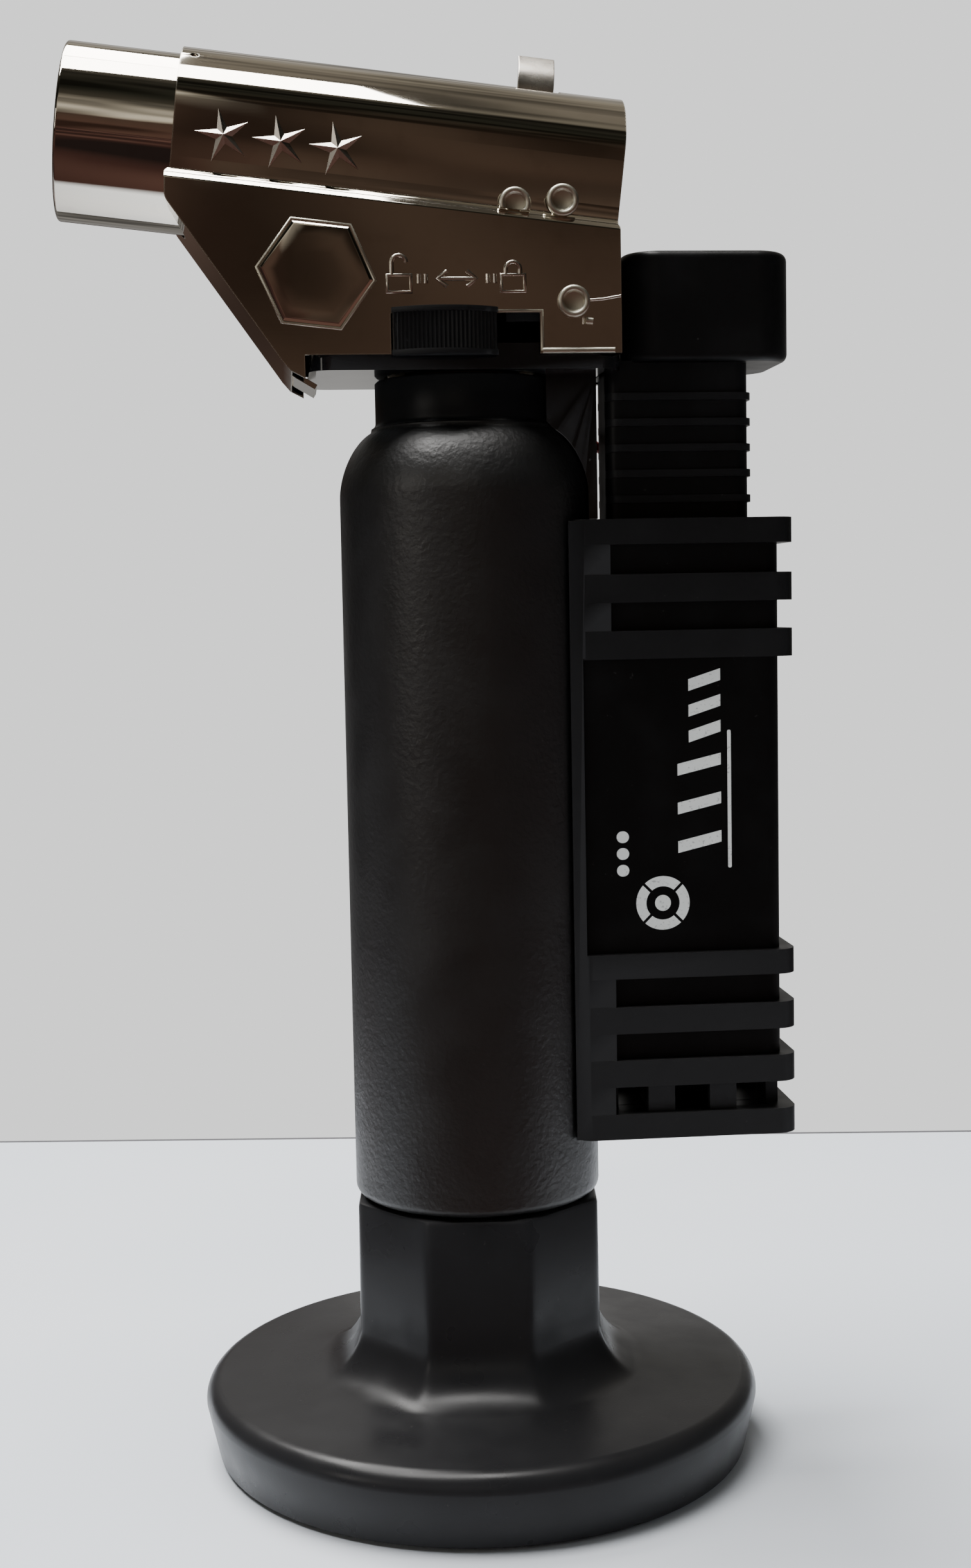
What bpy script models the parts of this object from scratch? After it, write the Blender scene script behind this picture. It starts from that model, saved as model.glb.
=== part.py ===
"""Butane bench torch on a lift-off stand, built as an assembly of separate pieces.

Lengths in the constants and in the helper calls are millimetres; the helpers
turn them into metres. +Z is up, -Y is the front with the lock slider, the flame
leaves towards -X and the thumb button is on the +X side. The origin is the
centre of the stand's foot, on the axis of the gas tank.
"""
import math

import bmesh
import bpy
from mathutils import Matrix, Vector

MM = 0.001
GAP = 0.3                    # clearance between neighbouring pieces

# Stand
FOOT_RADIUS = 37.6           # where the wall meets the table
RIM_RADIUS = 39.2            # widest point of the disc
RIM_TOP = 10.6
COLLAR_FLAT_TOP = 33.4       # octagonal collar, across flats at its top
COLLAR_FLAT_FOOT = 34.1      # and where it meets the disc
COLLAR_TOP = 36.3
COLLAR_TURN = -5.0           # degrees, the stand as it is usually put down
COLLAR_BORE = 13.8
BORE_FLOOR = 19.0
RECESS_RADIUS = 34.2         # hollow under the disc for pad and ballast

# Gas tank
TANK_RADIUS = 17.25
TANK_WALL = 1.1
TANK_FOOT = COLLAR_TOP + 0.35
SHOULDER_FOOT = 134.0
SHOULDER_HEIGHT = 9.2
NECK_RADIUS = 12.1
NECK_TOP = 149.8

# Head plate and the stamped shell above it
PLATE_FOOT = 150.1
PLATE_TOP = 153.5
PLATE_LEFT = -21.2
PLATE_RIGHT = 19.3
PLATE_HALF = 12.4
SHEET = 0.5                  # shell sheet thickness
SHELL_HALF = 12.5            # half width above the ledge
JOGGLE = 0.8                 # the part below the ledge stands proud by this
SHELL_REAR = 20.2
SHELL_FOOT = 152.0
SLOPE_FOOT = (-24.7, 151.3)  # the sloping front wall, lower and upper end
SLOPE_TOP = (-38.9, 171.7)
SHELL_FRONT = -39.3
LEDGE_TILT = 6.6
LEDGE_AT_AXIS = 171.1        # height of the ledge above the tank axis

# Burner, on an axis that rises towards the flame
BURNER_TILT = 6.5
BURNER_AT_AXIS = 177.3       # height of the burner axis above the tank axis
TUBE_RADIUS = 11.7
TUBE_WALL = 0.8
TUBE_MOUTH = 53.4
TUBE_REAR = 12.0
TAB = (-11.9, -6.9)          # the air shutter's tab, along the burner axis
TAB_TOP = 18.0

# Lever pin and rivets, as (x, z) on the shell's side
LEVER_PIVOT = (13.8, 158.7)
RIVETS = ((12.6, 171.9), (6.3, 171.5))
RIVET_HEAD = 2.0

# Lip under the foot of the front wall: its outer side, from the wall to its tip
LIP = ((-24.6, 151.3), (-23.9, 150.5), (-22.9, 149.8), (-20.4, 148.3))
LIP_HALF = 6.0

# Lock slider
LOCK_SLOT = (-10.4, 9.3)     # the slot in the shell
LOCK_MIDDLE = -3.3
LOCK_HALF = 7.0

# Thumb button
BLOCK = (21.2, 44.3, 151.3, 166.0)       # x from, x to, z from, z to
BLOCK_HALF = 10.0
COLUMN = (18.9, 38.6)
COLUMN_HALF = 7.5
COLUMN_FOOT = 112.0
BUTTON_TRAVEL = 5.0
RIB_PROUD = 0.4
RIB_TOP = 146.8
RIB_PITCH = 3.45
RIB_COUNT = 5

# Grip
GRIP_LEFT = 12.7
GRIP_RIGHT = 43.7
GRIP_HALF = 12.4
CORE_RIGHT = 41.8
CORE_HALF = 11.3
GRIP_FOOT = 45.5
GRIP_TOP = 130.2
BAND_RIGHT = 18.4            # the fins start from this upright band
PANEL_LEFT = 14.5
UPPER_FINS = ((111.4, 115.2), (119.0, 122.8), (126.8, GRIP_TOP))
LOWER_FINS = ((GRIP_FOOT, 49.0), (52.8, 56.5), (60.2, 63.9), (67.8, 71.2))
VENTS = ((18.2, 22.9), (26.6, 31.5), (35.2, 48.0))
BOSSES = ((21.7, 76.0), (38.0, 76.0), (21.7, 103.5), (38.0, 103.5))

ROUND = 40                   # segments round a large turned piece
SMALL_ROUND = 20

FRONT = Matrix.Rotation(math.radians(90), 4, "X")
PLAN = Matrix.Identity(4)


def axis_frame(tilt, height):
    """A frame on the tank axis whose Z points along a line rising to the left."""
    turn = Matrix.Rotation(math.radians(tilt - 90), 4, "Y")
    return Matrix.Translation((0, 0, height * MM)) @ turn


BURNER = axis_frame(BURNER_TILT, BURNER_AT_AXIS)
LEDGE = axis_frame(LEDGE_TILT, LEDGE_AT_AXIS)


def clear_scene():
    for item in list(bpy.data.objects):
        bpy.data.objects.remove(item, do_unlink=True)


def new_collection(name):
    made = bpy.data.collections.new(name)
    bpy.context.scene.collection.children.link(made)
    return made


clear_scene()
PARTS = new_collection("butane_torch")
CUTTERS = new_collection("cutters")


def make_material(name, colour, roughness, metallic=0.0):
    made = bpy.data.materials.new(name)
    made.use_nodes = True
    shader = made.node_tree.nodes["Principled BSDF"]
    shader.inputs["Base Color"].default_value = (*colour, 1.0)
    shader.inputs["Roughness"].default_value = roughness
    shader.inputs["Metallic"].default_value = metallic
    return made


BLACK_PAINT = make_material("black_paint", (0.016, 0.016, 0.018), 0.55)
BLACK_PLASTIC = make_material("black_plastic", (0.014, 0.014, 0.016), 0.42)
STAND_PLASTIC = make_material("stand_plastic", (0.018, 0.018, 0.019), 0.5)
CHROME = make_material("chrome", (0.75, 0.73, 0.69), 0.08, 1.0)
STEEL = make_material("steel", (0.55, 0.55, 0.56), 0.35, 1.0)
BRASS = make_material("brass", (0.78, 0.57, 0.25), 0.3, 1.0)
RUBBER = make_material("rubber", (0.02, 0.02, 0.02), 0.85)
CERAMIC = make_material("ceramic", (0.85, 0.83, 0.78), 0.35)
WHITE_PLASTIC = make_material("white_plastic", (0.75, 0.74, 0.7), 0.45)
WIRE_COVER = make_material("wire_cover", (0.5, 0.03, 0.025), 0.5)


def finish_mesh(name, mesh, frame, material):
    """Put a mesh in the scene: a part when it has a material, else a cutter."""
    made = bpy.data.objects.new(name, mesh)
    made.matrix_world = frame
    if material is None:
        CUTTERS.objects.link(made)
        made.hide_render = True
        made.display_type = "WIRE"
    else:
        PARTS.objects.link(made)
        mesh.materials.append(material)
    return made


def smooth(item, angle=35):
    item.data.shade_smooth()
    item.data.set_sharp_from_angle(angle=math.radians(angle))


def block(name, x, y, z, material=None, frame=PLAN):
    """A box between the given low and high coordinates."""
    mesh = bpy.data.meshes.new(name)
    shape = bmesh.new()
    bmesh.ops.create_cube(shape, size=1.0)
    for vert in shape.verts:
        vert.co = Vector([(low + high) / 2 + side * (high - low)
                          for side, (low, high) in zip(vert.co, (x, y, z))]) * MM
    shape.to_mesh(mesh)
    shape.free()
    return finish_mesh(name, mesh, frame, material)


def rod(name, centre, radius, low, high, material=None, frame=PLAN, sides=SMALL_ROUND):
    """A round bar along the frame's Z."""
    mesh = bpy.data.meshes.new(name)
    shape = bmesh.new()
    middle = Vector((centre[0], centre[1], (low + high) / 2)) * MM
    bmesh.ops.create_cone(shape, cap_ends=True, segments=sides, radius1=radius * MM,
                          radius2=radius * MM, depth=(high - low) * MM,
                          matrix=Matrix.Translation(middle))
    shape.to_mesh(mesh)
    shape.free()
    return finish_mesh(name, mesh, frame, material)


def turned(name, profile, material=None, frame=PLAN, steps=ROUND):
    """Turn (radius, height) points, given down the outer side, about the frame's Z."""
    mesh = bpy.data.meshes.new(name)
    points = [Vector((radius, 0, height)) * MM for radius, height in profile]
    edges = [(i, i + 1) for i in range(len(points) - 1)]
    if profile[0][0] > 0:
        edges.append((len(points) - 1, 0))
    mesh.from_pydata(points, edges, [])
    made = finish_mesh(name, mesh, frame, material)
    screw = made.modifiers.new("turn", "SCREW")
    screw.steps = steps
    screw.render_steps = steps
    screw.use_merge_vertices = True
    screw.merge_threshold = 0.000001
    screw.use_smooth_shade = True
    return made


def arc(centre, radius, start, end, count):
    """Points on an arc in degrees; radius may be one number or (across, up)."""
    across, up = radius if isinstance(radius, tuple) else (radius, radius)
    turns = [math.radians(start + (end - start) * i / count) for i in range(count + 1)]
    return [(centre[0] + across * math.cos(a), centre[1] + up * math.sin(a)) for a in turns]


def rounded(x, y, radius, count=4):
    """A rectangle with round corners."""
    (x0, x1), (y0, y1) = x, y
    corners = (((x1 - radius, y1 - radius), 0), ((x0 + radius, y1 - radius), 90),
               ((x0 + radius, y0 + radius), 180), ((x1 - radius, y0 + radius), 270))
    return [p for centre, start in corners for p in arc(centre, radius, start, start + 90, count)]


def as_mesh(item):
    """Replace a curve object by its welded mesh."""
    bpy.context.view_layer.update()
    evaluated = item.evaluated_get(bpy.context.evaluated_depsgraph_get())
    mesh = bpy.data.meshes.new_from_object(evaluated)
    shape = bmesh.new()
    shape.from_mesh(mesh)
    bmesh.ops.remove_doubles(shape, verts=shape.verts, dist=0.000001)
    bmesh.ops.recalc_face_normals(shape, faces=shape.faces)
    shape.to_mesh(mesh)
    shape.free()
    mesh.materials.clear()
    place = item.matrix_world.copy()
    bpy.data.objects.remove(item, do_unlink=True)
    return mesh, place


def slab(name, outline, low, high, material=None, frame=PLAN):
    """A flat outline in the frame's XY plane, from low to high along its Z."""
    curve = bpy.data.curves.new(name, "CURVE")
    curve.dimensions = "2D"
    curve.fill_mode = "BOTH"
    curve.extrude = (high - low) / 2 * MM
    spline = curve.splines.new("POLY")
    spline.points.add(len(outline) - 1)
    for point, (x, y) in zip(spline.points, outline):
        point.co = (x * MM, y * MM, 0, 1)
    spline.use_cyclic_u = True
    flat = bpy.data.objects.new(name, curve)
    CUTTERS.objects.link(flat)
    flat.matrix_world = frame @ Matrix.Translation((0, 0, (low + high) / 2 * MM))
    mesh, place = as_mesh(flat)
    return finish_mesh(name, mesh, place, material)


def wire(name, points, radius, material, resolution=2, frame=PLAN):
    """A round wire through points, as a curve with closed ends."""
    curve = bpy.data.curves.new(name, "CURVE")
    curve.dimensions = "3D"
    curve.bevel_depth = radius * MM
    curve.bevel_resolution = resolution
    curve.use_fill_caps = True
    spline = curve.splines.new("POLY")
    spline.points.add(len(points) - 1)
    for point, place in zip(spline.points, points):
        point.co = (*(Vector(place) * MM), 1)
    made = bpy.data.objects.new(name, curve)
    made.matrix_world = frame
    curve.materials.append(material)
    PARTS.objects.link(made)
    return made


def smooth_path(knots, steps=6):
    """Points on a Catmull-Rom curve through the knots."""
    ends = [Vector(knots[0]) * 2 - Vector(knots[1])]
    ends += [Vector(k) for k in knots]
    ends.append(Vector(knots[-1]) * 2 - Vector(knots[-2]))
    path = []
    for a, b, c, d in zip(ends, ends[1:], ends[2:], ends[3:]):
        for i in range(steps):
            t = i / steps
            path.append(0.5 * (2 * b + (c - a) * t + (2 * a - 5 * b + 4 * c - d) * t ** 2
                               + (3 * b - a - 3 * c + d) * t ** 3))
    path.append(Vector(knots[-1]))
    return path


def helix(centre, radius, low, high, turns, corners=9):
    """Points along a coil, a few corners to each turn."""
    count = turns * corners
    return [(centre[0] + radius * math.cos(math.tau * i / corners),
             centre[1] + radius * math.sin(math.tau * i / corners),
             low + (high - low) * i / count) for i in range(count + 1)]


def combine(item, other, operation):
    step = item.modifiers.new(other.name, "BOOLEAN")
    step.operation = operation
    step.solver = "EXACT"
    step.object = other


def cut(item, *others):
    for other in others:
        combine(item, other, "DIFFERENCE")


def join(item, *others):
    for other in others:
        combine(item, other, "UNION")


def keep_inside(item, other):
    combine(item, other, "INTERSECT")


def bevel(item, width, segments=2, angle=40):
    step = item.modifiers.new("edge", "BEVEL")
    step.width = width * MM
    step.segments = segments
    step.limit_method = "ANGLE"
    step.angle_limit = math.radians(angle)


def axis_empty(name, frame):
    """An empty that marks a joint axis and carries the pieces that turn or slide on it."""
    made = bpy.data.objects.new(name, None)
    made.matrix_world = frame
    PARTS.objects.link(made)
    return made


def hang(parent, *items):
    """Parent pieces to an empty without moving them."""
    for item in items:
        place = item.matrix_world.copy()
        item.parent = parent
        item.matrix_parent_inverse = parent.matrix_world.inverted()
        item.matrix_world = place


# ---------------------------------------------------------------- stand

def build_stand():
    rim = 2.6
    core, flare, flare_top = 16.8, 7.4, 18.9
    disc = [(0, flare_top), (core, flare_top)]
    disc += arc((core + flare, flare_top), flare, 190, 262, 6)
    disc += [(RIM_RADIUS - rim - 0.3, RIM_TOP)]
    disc += arc((RIM_RADIUS - rim, RIM_TOP - rim), rim, 75, 0, 4)
    disc += [(FOOT_RADIUS, 0.9), (FOOT_RADIUS - 0.6, GAP), (RECESS_RADIUS, GAP),
             (RECESS_RADIUS, 6.6), (0, 6.6)]
    stand = turned("stand", disc, STAND_PLASTIC, steps=48)
    collar_mesh = bpy.data.meshes.new("collar")
    shape = bmesh.new()
    to_corner = 1 / math.cos(math.pi / 8) / 2
    place = Matrix.Translation((0, 0, (12 + COLLAR_TOP) / 2 * MM))
    turn = math.pi / 8 + math.radians(COLLAR_TURN)
    bmesh.ops.create_cone(shape, cap_ends=True, segments=8,
                          radius1=COLLAR_FLAT_FOOT * to_corner * MM,
                          radius2=COLLAR_FLAT_TOP * to_corner * MM,
                          depth=(COLLAR_TOP - 12) * MM,
                          matrix=place @ Matrix.Rotation(turn, 4, "Z"))
    shape.to_mesh(collar_mesh)
    shape.free()
    collar = finish_mesh("collar", collar_mesh, PLAN, None)
    bevel(collar, 0.5, 2, 80)
    join(stand, collar)
    cut(stand, rod("collar_bore", (0, 0), COLLAR_BORE, BORE_FLOOR, 60, sides=ROUND))
    turned("ballast_plate", [(0, 6.3), (33.9, 6.3), (33.9, 2.6), (0, 2.6)], STEEL)
    turned("foot_pad", [(0, 2.3), (33.9, 2.3), (33.9, 0.4), (33.5, 0), (0, 0)], RUBBER)


# ---------------------------------------------------------------- tank and valves

def build_tank():
    across = TANK_RADIUS - 11.6
    outer = [(NECK_RADIUS, NECK_TOP), (NECK_RADIUS, 143.6)]
    outer += arc((11.6, SHOULDER_FOOT), (across, SHOULDER_HEIGHT), 84, 0, 7)
    outer += [(TANK_RADIUS, TANK_FOOT + 0.9), (TANK_RADIUS - 0.8, TANK_FOOT)]
    inner = [(4.1, TANK_FOOT), (4.1, 38.0), (TANK_RADIUS - TANK_WALL, 38.0)]
    inner += arc((11.6, SHOULDER_FOOT), (across - TANK_WALL, SHOULDER_HEIGHT - TANK_WALL),
                 0, 90, 3)
    inner += [(10.7, 142.0), (10.7, NECK_TOP)]
    turned("tank", outer + inner, BLACK_PAINT, steps=48)
    turned("tank_foot", [(13.5, 36.35), (13.5, 20.6), (12.9, 20.0), (6.3, 20.0), (6.3, 36.35)],
           BLACK_PLASTIC)


def build_refill_valve():
    turned("refill_valve", [(2.8, 47.0), (2.8, 41.5), (5.8, 41.5), (5.8, 38.3), (3.8, 38.3),
                            (3.8, 36.35), (5.9, 36.35), (5.9, 33.0), (3.4, 33.0), (3.4, 27.5),
                            (1.8, 27.5), (1.8, 47.0)], BRASS, steps=SMALL_ROUND)
    axis = axis_empty("refill_stem_axis", PLAN)
    stem = turned("refill_stem", [(0, 45.0), (1.2, 45.0), (1.5, 44.0), (1.5, 26.6), (1.0, 25.6),
                                  (0, 25.6)], STEEL, steps=SMALL_ROUND)
    hang(axis, stem)


def build_outlet_valve():
    turned("valve_body", [(4.5, 158.6), (4.5, PLATE_TOP), (8.0, PLATE_TOP), (8.0, NECK_TOP - 0.1),
                          (10.4, NECK_TOP - 0.1), (10.4, 147.4), (9.2, 147.4), (9.2, 145.4),
                          (10.4, 145.4), (10.4, 143.0), (6.0, 143.0), (6.0, 139.0), (1.8, 139.0),
                          (1.8, 158.6)], BRASS, steps=28)
    ring = turned("neck_seal", arc((9.95, 146.4), (0.45, 0.8), 90, -270, 6)[:-1], RUBBER)
    smooth(ring)
    axis = axis_empty("valve_stem_axis", PLAN)
    stem = turned("valve_stem", [(0, 164.8), (1.1, 164.8), (1.4, 164.4), (1.4, 162.0),
                                 (2.6, 162.0), (2.6, 160.9), (1.4, 160.9), (1.4, 140.0),
                                 (0, 140.0)], STEEL, steps=SMALL_ROUND)
    hang(axis, stem)
    wire("valve_spring", helix((0, 0), 2.3, 162.7, 166.1, 4), 0.3, STEEL, 1)


# ---------------------------------------------------------------- head

def build_head_plate():
    outline = rounded((PLATE_LEFT, PLATE_RIGHT), (-PLATE_HALF, PLATE_HALF), 3.0)
    plate = slab("head_plate", outline, PLATE_FOOT, PLATE_TOP, BLACK_PLASTIC)
    bracket = block("bracket", (10.0, COLUMN[0] - 0.4), (-6.0, 6.0), (130.5, PLATE_FOOT + 1))
    shoulder = arc((11.9, SHOULDER_FOOT), (TANK_RADIUS - 11.6, SHOULDER_HEIGHT + 0.2), 84, 0, 10)
    tank_room = turned("tank_room", [(0, PLATE_FOOT), (NECK_RADIUS + GAP, PLATE_FOOT),
                                     (NECK_RADIUS + GAP, 143.8)] + shoulder
                       + [(TANK_RADIUS + GAP, 120), (0, 120)])
    cut(bracket, tank_room)
    tail = rounded((0, SHELL_REAR + 0.2), (-PLATE_HALF, PLATE_HALF), 3.0)
    join(plate, slab("plate_tail", tail, PLATE_FOOT, SHELL_FOOT - GAP), bracket)
    cut(plate, rod("valve_hole", (0, 0), 8.3, 140, 160, sides=ROUND),
        rod("wire_hole", (15.6, 9.3), 1.1, 140, 160),
        block("column_notch", (COLUMN[0] - 0.5, 30), (-8.3, 8.3), (140, 160)))


def arch(half, top, thick):
    """Section of the shell above the ledge: flat sides under a shallow round top."""
    radius = 14.0 - thick
    centre = top - thick - radius
    side = half - thick
    corner = 2.2
    lean = math.degrees(math.acos((side - corner) / (radius - corner)))
    spring = centre + math.sin(math.radians(lean)) * (radius - corner)
    half_outline = [(-30, side), (spring, side)]
    half_outline += [(spring + corner * math.sin(a), side - corner + corner * math.cos(a))
                     for a in (math.radians(lean) * i / 3 for i in range(1, 4))]
    half_outline += [(centre + radius * math.sin(a), radius * math.cos(a))
                     for a in (math.radians(lean + (90 - lean) * i / 6) for i in range(1, 7))]
    return half_outline + [(up, -across) for up, across in reversed(half_outline[:-1])]


def ledge_section(thick):
    """Section of the wider part under the ledge, with its sloping step."""
    wide, narrow = SHELL_HALF + JOGGLE - thick, SHELL_HALF - thick - 0.2
    step = JOGGLE + 0.2
    top = 0.5 - thick * 0.4
    return [(-30, wide), (top - step, wide), (top, narrow),
            (top, -narrow), (top - step, -wide), (-30, -wide)]


def shell_outline(inset):
    """Side view of the shell in x and z; the inset leaves its front and rear walls."""
    ledge_rear = 168.8
    over = 200.0
    rear_top = SHELL_REAR - 0.2 + (over - ledge_rear) * math.tan(math.radians(BURNER_TILT))
    foot, upper = Vector(SLOPE_FOOT), Vector(SLOPE_TOP)
    slope = (foot - upper).normalized()
    side = Vector((-slope.y, slope.x)) * inset
    outline = [(rear_top - inset, over), (SHELL_REAR - 0.2 - inset, ledge_rear),
               (SHELL_REAR - inset, ledge_rear - 0.4)]
    if inset:
        low = 138.0
        return outline + [(SHELL_REAR - inset, low), (foot.x + side.x + 0.9, low),
                          (foot.x + side.x + 0.9, foot.y - 1.2), tuple(foot + side),
                          tuple(upper + side), (SHELL_FRONT + inset, 173.3),
                          (SHELL_FRONT + inset, 176), (-60, 176), (-60, over)]
    corner = 2.0
    lean = math.degrees(math.atan2(foot.x - upper.x, upper.y - foot.y))
    outline += [(SHELL_REAR, 149), (LIP[0][0] + 2.9, 149), (LIP[0][0] + 1.0, 150.0)]
    outline += [tuple(foot)]
    outline += arc((SHELL_FRONT + corner, 172.86), corner, 180 + lean, 180, 3)
    return outline + [(SHELL_FRONT + 0.1, 175.7), (SHELL_FRONT + 0.8, 176.4),
                      (SHELL_FRONT + 3.5, over)]


def build_head_shell():
    top = 12.6
    shell = slab("head_shell", arch(SHELL_HALF, top, 0), -40, 45, CHROME, BURNER)
    lower = slab("lower_shell", ledge_section(0), -40, 45, None, LEDGE)
    join(shell, lower)
    keep_inside(shell, slab("shell_outside", shell_outline(0), -30, 30, None, FRONT))
    hollow = slab("shell_hollow", arch(SHELL_HALF, top, SHEET), -40, 70, None, BURNER)
    join(hollow, slab("lower_hollow", ledge_section(SHEET), -40, 70, None, LEDGE))
    keep_inside(hollow, slab("shell_inside", shell_outline(SHEET), -30, 30, None, FRONT))
    cut(shell, hollow)
    inner = [(x + 0.35, z + 0.6) for x, z in reversed(LIP)]
    lip = slab("lip", list(LIP) + inner, -LIP_HALF, LIP_HALF, None, FRONT)
    foot_cut = block("foot_cut", (LIP[0][0] + 2.9, 40), (-30, 30), (140, SHELL_FOOT))
    slot = block("lock_slot", LOCK_SLOT, (-30, 0), (140, 157.3))
    tube_room = rod("tube_room", (0, 0), TUBE_RADIUS + GAP, 0, 90, None, BURNER, ROUND)
    tab_slot = block("tab_slot", (9, 16), (-5.4, 5.4), (TAB[0] - 0.5, TAB[1] + 0.5), None, BURNER)
    lever_slot = block("lever_slot", (18, 24), (-4, 4), (155.9, 160.4))
    cut(shell, foot_cut)
    join(shell, lip)
    cut(shell, slot, tube_room, tab_slot, lever_slot)
    for i, (x, z) in enumerate((LEVER_PIVOT,) + RIVETS):
        cut(shell, rod(f"pin_hole_{i}", (x, z), 1.3, -30, 30, None, FRONT, 12))


def build_chassis():
    """Folded steel frame inside the shell that holds the lever and the jet."""
    tongue_end = LOCK_SLOT[1] + GAP
    cheek = [(tongue_end, 155.2), (18.2, 155.2), (18.2, 173.6), (-3.6, 173.6), (-3.6, 166.6),
             (5.0, 166.6), (5.0, 156.4), (tongue_end, 156.4)]
    inside = (-10.4, 10.4)
    chassis = slab("chassis", cheek, -11.4, 11.4, STEEL, FRONT)
    cut(chassis, block("room_behind_bridge", (3.4, 30), inside, (140, 190)),
        block("room_over_bridge", (-9, 3.5), inside, (167.8, 190)),
        block("room_under_bridge", (-9, 3.5), inside, (140, 166.6)),
        rod("stem_room", (0, 0), 1.8, 160, 175))
    for i, (x, z) in enumerate((LEVER_PIVOT,) + RIVETS):
        cut(chassis, rod(f"cheek_hole_{i}", (x, z), 1.3, -30, 30, None, FRONT, 12))


def build_fasteners():
    """Two rivets on each side, their heads clipped by the ledge, and the lever pin."""
    ledge_room = slab("ledge_room", [(-30, 14.5), (0.8, 14.5), (0.8, -14.5), (-30, -14.5)],
                      -40, 45, None, LEDGE)
    cut(ledge_room, block("shank_room", (0, 30), (-12.7, 12.7), (150, 190)))
    for i, (x, z) in enumerate(RIVETS):
        for side, label in ((1, "front"), (-1, "rear")):
            shank = sorted((10.2 * side, 13.0 * side))
            head = sorted((12.8 * side, 13.6 * side))
            name = f"head_rivet_{label}_{i + 1}"
            rivet = rod(name, (x, z), 1.0, *shank, STEEL, FRONT, 12)
            join(rivet, rod(f"{name}_top", (x, z), RIVET_HEAD, *head, None, FRONT, 16))
            cut(rivet, ledge_room)
    x, z = LEVER_PIVOT
    pin = rod("lever_pin", (x, z), 1.0, -14.2, 14.2, STEEL, FRONT, 16)
    for side in (-1, 1):
        head = sorted((13.6 * side, 14.4 * side))
        join(pin, rod(f"pin_head_{side}", (x, z), RIVET_HEAD, *head, None, FRONT, 16))


def build_gas_lever():
    x, z = LEVER_PIVOT
    axis = axis_empty("gas_lever_axis", Matrix.Translation(Vector((x, 0, z)) * MM))
    outline = arc((x, z), 2.5, -26, 140, 6)
    outline += [(11.0, 160.4), (-3.6, 160.4), (-3.6, 159.2), (10.5, 159.2)]
    outline += arc((x, z), 2.5, 190, 295, 5)
    outline += [(26.0, 157.4), (26.0, 158.6), (18.4, 158.6)]
    lever = slab("gas_lever", outline, -3.2, 3.2, STEEL, FRONT)
    cut(lever, rod("lever_bore", (x, z), 1.3, -9, 9, None, FRONT, 16),
        block("fork_slot", (-6, 2.4), (-1.8, 1.8), (150, 170)))
    hang(axis, lever)


def build_lock_slider():
    axis = axis_empty("lock_slider_axis", Matrix.Translation(Vector((LOCK_MIDDLE, -14, 155)) * MM))
    sagitta, back = 2.3, -13.6
    radius = (LOCK_HALF ** 2 + sagitta ** 2) / (2 * sagitta)
    span = math.degrees(math.asin(LOCK_HALF / radius))
    centre = (LOCK_MIDDLE, back - 0.2 - sagitta + radius)
    face = arc(centre, radius, 270 - span, 270 + span, 14)
    left, right = LOCK_MIDDLE - LOCK_HALF, LOCK_MIDDLE + LOCK_HALF
    slider = slab("lock_slider", face + [(right, back), (left, back)], 151.8, 158.0, BLACK_PLASTIC)
    tongue = block("tongue", (left + 0.5, right - 0.4), (-14.0, -5.3), (153.9, 155.9))
    join(slider, tongue)
    hang(axis, slider)


# ---------------------------------------------------------------- burner

def build_burner(axis):
    mouth = TUBE_MOUTH
    inner = TUBE_RADIUS - TUBE_WALL
    tube = turned("burner_tube", [(inner + 0.2, mouth), (TUBE_RADIUS - 0.2, mouth),
                                  (TUBE_RADIUS, mouth - 0.2), (TUBE_RADIUS, TUBE_REAR),
                                  (inner, TUBE_REAR), (inner, mouth - 0.2)], CHROME, BURNER)
    base = turned("burner_base", [(10.6, 17.0), (10.6, 13.0), (4.9, 13.0), (4.9, 17.0)],
                  BRASS, BURNER)
    cut(base, rod("insulator_hole", (0, 8.0), 1.7, 10, 20, None, BURNER, 16))
    nozzle = turned("flame_nozzle", [(7.0, 44.0), (7.4, 44.0), (6.6, 40.0), (5.8, 38.0),
                                     (5.8, 17.3), (5.0, 17.3), (5.0, 38.2), (6.0, 40.4)],
                    STEEL, BURNER, 32)
    holder = turned("flame_holder", [(0, 37.0), (4.7, 37.0), (4.7, 35.0), (0, 35.0)], BRASS,
                    BURNER, 32)
    for i in range(6):
        turn = i * math.tau / 6
        cut(holder, rod(f"jet_hole_{i}", (3.2 * math.cos(turn), 3.2 * math.sin(turn)), 0.6,
                        30, 40, None, BURNER, 8))
    mixing = turned("mixing_tube", [(4.6, 16.7), (4.6, -15.0), (3.8, -15.0), (3.8, 16.7)],
                    BRASS, BURNER, 32)
    cut(mixing, rod("air_hole", (0, 9.5), 1.6, -9, 9, None,
                    BURNER @ Matrix.Rotation(math.radians(90), 4, "X"), 12))
    jet = turned("gas_jet", [(0.9, -11.5), (3.5, -12.5), (3.5, -19.0), (0.4, -19.0), (0.4, -11.5)],
                 BRASS, BURNER, SMALL_ROUND)
    cut(jet, block("jet_notch", (-9, -2.2), (-9, 9), (-19.5, -15.6), None, BURNER))
    insulator = turned("electrode_insulator", [(1.3, 33.0), (1.3, 10.5), (0.75, 10.5),
                                               (0.75, 33.0)], CERAMIC,
                       BURNER @ Matrix.Translation((0, 8.0 * MM, 0)), 16)
    electrode = wire("electrode", [(0, 8.0, 10.0), (0, 8.0, 36.0), (0, 8.0, 38.5),
                                   (0, 8.2, 43.0), (0, 7.9, 44.6)], 0.4, STEEL, 2, BURNER)
    hang(axis, tube, base, nozzle, holder, mixing, jet, insulator, electrode)


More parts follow.
